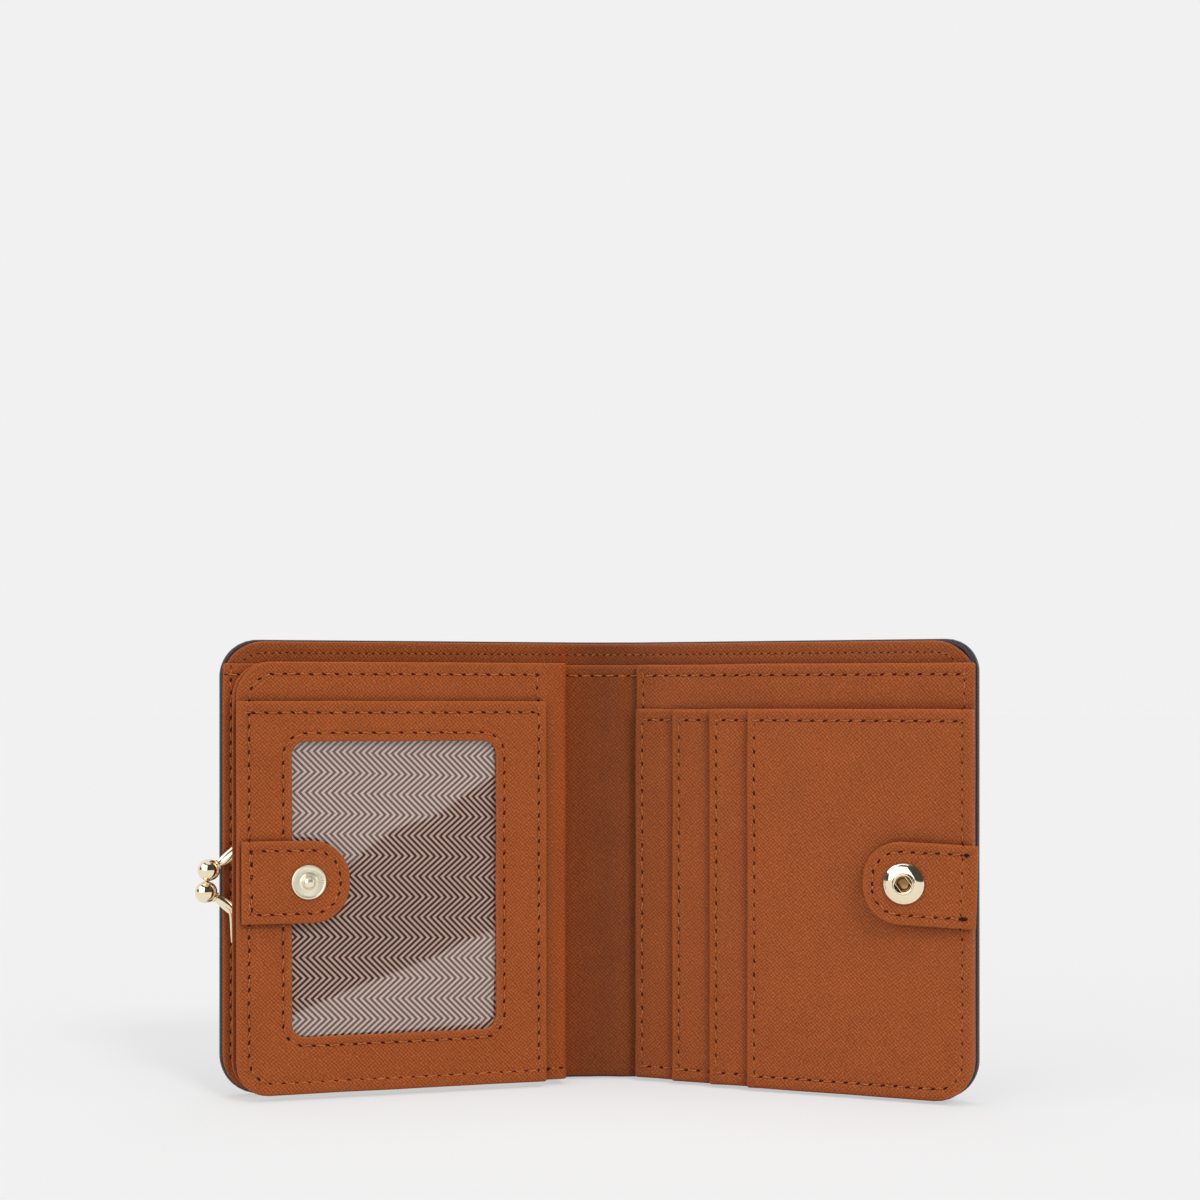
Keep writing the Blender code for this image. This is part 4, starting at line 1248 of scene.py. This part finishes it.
def placeLeaning(half, w, d, z):
    # the socket tab is sewn on slightly askew: its tip stands higher than its root
    middle = (socketBox[0] + socketBox[1]).xz / 2
    turned = Matrix.Rotation(-tab["lean"], 2) @ (Vector((w, z)) - middle) + middle
    return placeRigid(half, turned.x, d, turned.y)


def makeTab(name, node, half, perimeter, putter, tacked):
    look = tab
    radii = (look["corner"], look["rootCorner"], look["rootCorner"], look["corner"])
    for layer, restsOn, seam in (("Back", [], 0), ("Front", [name + "Back"], look["seam"])):
        layerNode = f"{node}_{layer.lower()}"
        low, high = flatBox(layerNode, half)
        reach = Vector((look["rootReach"][layer] if tacked else 0, 0, 0))
        sheetPly(name + layer, layerNode, node, restsOn, half, low, high + reach, radii, seams=(seam,) * 4,
                 puffs=(look["puff"],) * 4, dip=look["dip"], putter=putter, steps=(12, 6))
    line = roundOutline((low.x, high.x, low.z, high.z), radii, look["seam"], 12, 6)
    root = high.x - perimeter
    split = (low.z + high.z) / 2 - 0.01  # the points at half height belong to the upper line
    upper = sorted((p for p in line if p.x < root and p.y > split), key=lambda p: -p.x)
    lower = sorted((p for p in line if p.x < root and p.y <= split), key=lambda p: p.x)
    ends = [Vector((root, high.z - look["seam"])), Vector((root, low.z + look["seam"]))]
    path = ends[:1]
    for point in upper + lower + ends[1:]:
        if (point - path[-1]).length > look["joint"]:
            path.append(point)
    face = onFace(half, high.y, putter)
    rows = [
        row(path, face, look["pitch"]),
        row([(root, high.z), (root, low.z)], face, look["rootPitch"], look["rootStitch"]),
    ]
    bars = []
    if tacked:
        for end, places in zip(ends, (look["topTacks"], look["footTacks"])):
            bars += [(end + Vector(place[:2]), end + Vector(place[2:])) for place in places]
    attach(seams(name + "Seams", rows, tacks=[(bars, face)]), node)


def lathe(name, half, node, body, profile, sides, material="gold", scale=1.0, knurl=None):
    # profile of (radius, height) above the node's back face, turned round the node's middle
    low, high = flatBox(node, half)
    middle = (low + high) / 2
    mesh = bmesh.new()
    rings = []
    for radius, height in profile:
        ring = []
        for side in range(sides if radius else 1):
            turn = 2 * pi * side / sides
            d = low.y + height
            if knurl and knurl["inner"] < radius < knurl["outer"] and height > knurl["lowest"]:
                d += knurl["height"] * (side % 4 - 1.5) / 1.5 * (side % 4 < 3)
            w, z = middle.x + scale * radius * cos(turn), middle.z + scale * radius * sin(turn)
            ring.append(mesh.verts.new(placeRigid(half, w, d, z)))
        rings.append(ring)
    skin(mesh, rings + rings[:1] if profile[0][0] else rings)
    piece = finishPiece(name, mesh, [material], "gold_metal", sharp=50)
    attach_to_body(piece, body)
    return piece


def arcProfile(start, end, bulge, steps):
    # points from start to end, bowed by bulge to the left of the way
    a, b = Vector(start), Vector(end)
    side = Vector((a.y - b.y, b.x - a.x)).normalized()
    shares = [step / steps for step in range(steps + 1)]
    return [tuple(a.lerp(b, t) + side * bulge * 4 * t * (1 - t)) for t in shares]


# radii and heights, or with Rim (in from the edge, up)
snap = {
    "studScale": 0.965, "socketScale": 0.95,
    "knurl": {"inner": 2.15, "outer": 3.7, "height": 0.045, "lowest": 0.2},
    "studBack": [(0, 0.15), (1.2, 0.15), (1.2, 0)],
    "studRim": [(0.1, 0), (0, 0.12), (0, 0.28), (0.1, 0.42), (0.28, 0.47), (0.45, 0.44), (0.52, 0.34)],
    "studFace": [
        (3.6, 0.33), (3.1, 0.34), (2.7, 0.35), (2.3, 0.37), (2.12, 0.4), (2.0, 0.56), (1.85, 0.6),
        (1.65, 0.55), (1.5, 0.4), (1.3, 0.36), (1.22, 0.8), (1.25, 1.1),
    ],
    "studBall": (1.4, 0.75),  # half width and half height
    "socketRim": [(0.1, 0), (0, 0.1), (0, 0.24), (0.08, 0.36)],
    "domeStart": (0.3, 0.42), "domeEnd": (2.75, 1.2), "domeBow": -0.16,
    "bore": 1.3,
    "cup": [
        (0, 0.05), (1.2, 0.05), (1.25, 0.1), (1.25, 0.37), (2.1, 0.37), (2.07, 0.7), (1.75, 1.05),
        (1.65, 1.11), (1.52, 1.05), (1.48, 0.62), (1.12, 0.3), (0.7, 0.2), (0, 0.2),
    ],
    "wire": 0.13, "wireLoop": 2.0, "wireSpread": 1.42, "wireTurn": radians(38), "wireHeight": 1.35,
}


def makeStud():
    low, high = flatBox("snap_stud", "left")
    radius, top = (high.x - low.x) / 2, high.y - low.y
    wide, tall = snap["studBall"]
    turns = [radians(15 * step) for step in range(-1, 6)]
    ball = [(wide * cos(turn), top - tall + tall * sin(turn)) for turn in turns]
    rim = [(radius - inset, up) for inset, up in snap["studRim"]]
    profile = snap["studBack"] + rim + snap["studFace"] + ball + [(0, top)]
    stud = lathe(
        "snapStud", "left", "snap_stud", "stud_tab", profile, 176, "stud", snap["studScale"], snap["knurl"],
    )
    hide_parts("snap_stud")


def makeSocket():
    low, high = flatBox("snap_socket", "socketTab")
    radius, top, bore = (high.x - low.x) / 2, high.y - low.y, snap["bore"]
    inset, up = snap["domeStart"]
    start = (radius - inset, up)
    profile = [(bore, 0)] + [(radius - into, height) for into, height in snap["socketRim"]]
    profile += arcProfile(start, snap["domeEnd"], snap["domeBow"], 10)
    profile += [(2.66, 1.3), (2.62, top - 0.25)]
    profile += arcProfile((2.6, top - 0.14), (2.22, top - 0.1), -0.12, 6)
    profile += [(2.17, top - 0.3), (2.15, 0.35), (bore, 0.3)]
    scale = snap["socketScale"]
    socket = lathe("snapSocket", "socketTab", "snap_socket", "socket_tab", profile, 96, scale=scale)
    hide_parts("snap_socket")
    lathe("socketCup", "socketTab", "snap_socket", "socket_tab", snap["cup"], 48, "cavity")


def makeSpring():
    # a wire with two straight bars across the socket's mouth, and round ends that join them
    look = snap
    low, high = socketBox
    spread, loop = look["wireSpread"], look["wireLoop"]
    barTurn = acos(spread / loop)
    reach = sqrt(loop**2 - spread**2)
    flat = []
    for side in (1, -1):
        flat += [Vector((spread * side, side * reach * (2 * step / 8 - 1))) for step in range(8)]
        start = barTurn if side > 0 else pi + barTurn
        turns = [start + (pi - 2 * barTurn) * step / 10 for step in range(10)]
        flat += [loop * Vector((cos(turn), sin(turn))) for turn in turns]
    middle = ((low + high) / 2).xz
    spots = [Matrix.Rotation(look["wireTurn"], 2) @ spot + middle for spot in flat]
    points = [placeRigid("socketTab", spot.x, low.y + look["wireHeight"], spot.y) for spot in spots]
    out = restMatrix["socketTab"].to_3x3() @ Vector((0, -1, 0))
    mesh = bmesh.new()
    rings = []
    for before, point, after in zip(points[-1:] + points, points, points[1:] + points[:1]):
        across = (after - before).cross(out).normalized()
        rings.append(ringAround(mesh, point, look["wire"] * across, look["wire"] * out, 8))
    skin(mesh, rings + rings[:1])
    attach(finishPiece("socketSpring", mesh, ["gold"], "gold_metal"), "socket_tab", "socket_spring")


makeTab("studTab", "stud_tab", "left", page["seam"] - 1.1, placeRigid, False)
makeTab("socketTab", "socket_tab", "socketTab", cards["outerSeam"] + 0.1, placeLeaning, True)
makeStud()
makeSocket()
makeSpring()
print("tabs and snap made")


# CAD pieces that keep their own shape

keptPieces = {
    "gold": ("rivet_top", "rivet_bottom", "stud_cap", "socket_cap"),
    "board": ("left_cover_board", "right_cover_board"),
}
for finish, names in keptPieces.items():
    for name in names:
        nodes[name].data.materials.clear()
        nodes[name].data.materials.append(materials[finish])


# Table, light and camera

pale = 0.88  # background, linear
studio = {
    # (one corner, the other corner, strength) of boxes of directions: what lights the object
    "sky": 0.16,
    "lights": [
        ((-0.97, -1, 0.03), (-0.42, 0, 0.74), 1.3),  # two tall windows, front left and right
        ((0.42, -1, 0.03), (0.97, 0, 0.74), 0.7),
        ((-0.5, -0.5, 0.86), (0.5, 0.5, 1), 2.0),  # overhead
    ],
    # and what metal and film mirror
    "dim": 0.06,
    "mirrored": [
        ((-1, 0.12, -1), (1, 1, 1), pale),  # backdrop
        ((-1, -1, -1), (1, 1, 0.03), pale),  # table
        ((-0.90, -1, 0.04), (-0.08, 0, 0.80), 2.0),
        ((0.74, -0.3, 0.05), (1, 0.6, 0.5), 1.9),
        ((-1, -1, 0.9), (1, 0.12, 1), 0.85),  # ceiling
    ],
    "sun": 1.0, "sunAngle": 14, "sunFrom": (0.47, -0.74, 0.78),
    "tableSize": 40, "tableDrop": 0.05, "tableColour": (0.70, 0.70, 0.70, 1), "tableGlow": 1.0,
    "tableShare": 0.52,
    "lens": 55.62, "lensShift": 0.0846, "eye": (-1, -470, 95),
}


def inBox(tree, way, low, high):
    # 1 where the direction lies between two corners
    a, b, c = [
        mathNode(tree, "COMPARE", way.outputs[part], (start + end) / 2, (end - start) / 2)
        for part, start, end in zip("XYZ", low, high)
    ]
    return mathNode(tree, "MULTIPLY", mathNode(tree, "MULTIPLY", a, b), c)


def makeTable():
    bpy.ops.mesh.primitive_plane_add(size=studio["tableSize"], location=(0, 0, -studio["tableDrop"] * mm))
    table = bpy.context.object
    table.name = "table"
    material, tree, shader = makeMaterial("paleTable")
    fill(tree, shader, {"Base Color": studio["tableColour"], "Roughness": 0.9, "Specular IOR Level": 0.0})
    rays = addNode(tree, "LightPath").outputs
    seen = mathNode(tree, "MAXIMUM", rays["Is Camera Ray"], rays["Is Glossy Ray"])
    seen = mathNode(tree, "MAXIMUM", seen, rays["Is Transmission Ray"])
    glow = addNode(tree, "Emission", {"Color": (1, 1, 1, 1), "Strength": studio["tableGlow"]})
    share = mathNode(tree, "MULTIPLY", seen, studio["tableShare"])
    mixed = addNode(tree, "MixShader", {0: share, 1: shader.outputs[0], 2: glow.outputs[0]})
    fill(tree, tree.nodes["Material Output"], {"Surface": mixed.outputs[0]})
    table.data.materials.append(material)


def makeLight():
    key = bpy.data.lights.new("keyLight", "SUN")
    key.energy = studio["sun"]
    key.angle = radians(studio["sunAngle"])
    lamp = bpy.data.objects.new("keyLight", key)
    lamp.visible_glossy = False
    lamp.rotation_euler = Vector(studio["sunFrom"]).to_track_quat("Z", "Y").to_euler()
    bpy.context.scene.collection.objects.link(lamp)

    world = bpy.data.worlds.new("studio")
    bpy.context.scene.world = world
    world.use_nodes = True
    tree = world.node_tree
    rays = addNode(tree, "LightPath").outputs
    seen = mathNode(tree, "MAXIMUM", rays["Is Camera Ray"], rays["Is Transmission Ray"])
    way = addNode(tree, "SeparateXYZ", {"Vector": addNode(tree, "TexCoord").outputs["Generated"]})
    light, shown = studio["sky"], studio["dim"]
    for low, high, strength in studio["lights"]:
        light = mathNode(tree, "MULTIPLY_ADD", inBox(tree, way, low, high), strength, light)
    for low, high, strength in studio["mirrored"]:
        lit = mathNode(tree, "MULTIPLY", inBox(tree, way, low, high), strength)
        shown = mathNode(tree, "MAXIMUM", lit, shown)
    gloss = addNode(tree, "Mix", {"Factor": rays["Is Glossy Ray"], "A": light, "B": shown}, data_type="FLOAT")
    level = addNode(tree, "Mix", {"Factor": seen, "A": gloss.outputs["Result"], "B": pale}, data_type="FLOAT")
    fill(tree, tree.nodes["Background"], {"Strength": level.outputs["Result"], "Color": (1, 1, 1, 1)})


def makeCamera():
    camera = bpy.data.cameras.new("view")
    camera.sensor_width = 36
    camera.lens = studio["lens"]
    camera.shift_y = studio["lensShift"]
    camera.clip_start, camera.clip_end = 0.01, 100
    eye = bpy.data.objects.new("view", camera)
    eye.location = Vector(studio["eye"]) * mm
    eye.rotation_euler = (radians(90), 0, 0)
    bpy.context.scene.collection.objects.link(eye)
    bpy.context.scene.camera = eye
    bpy.context.scene.view_settings.view_transform = "Standard"


makeTable()
makeLight()
makeCamera()
print("studio made")
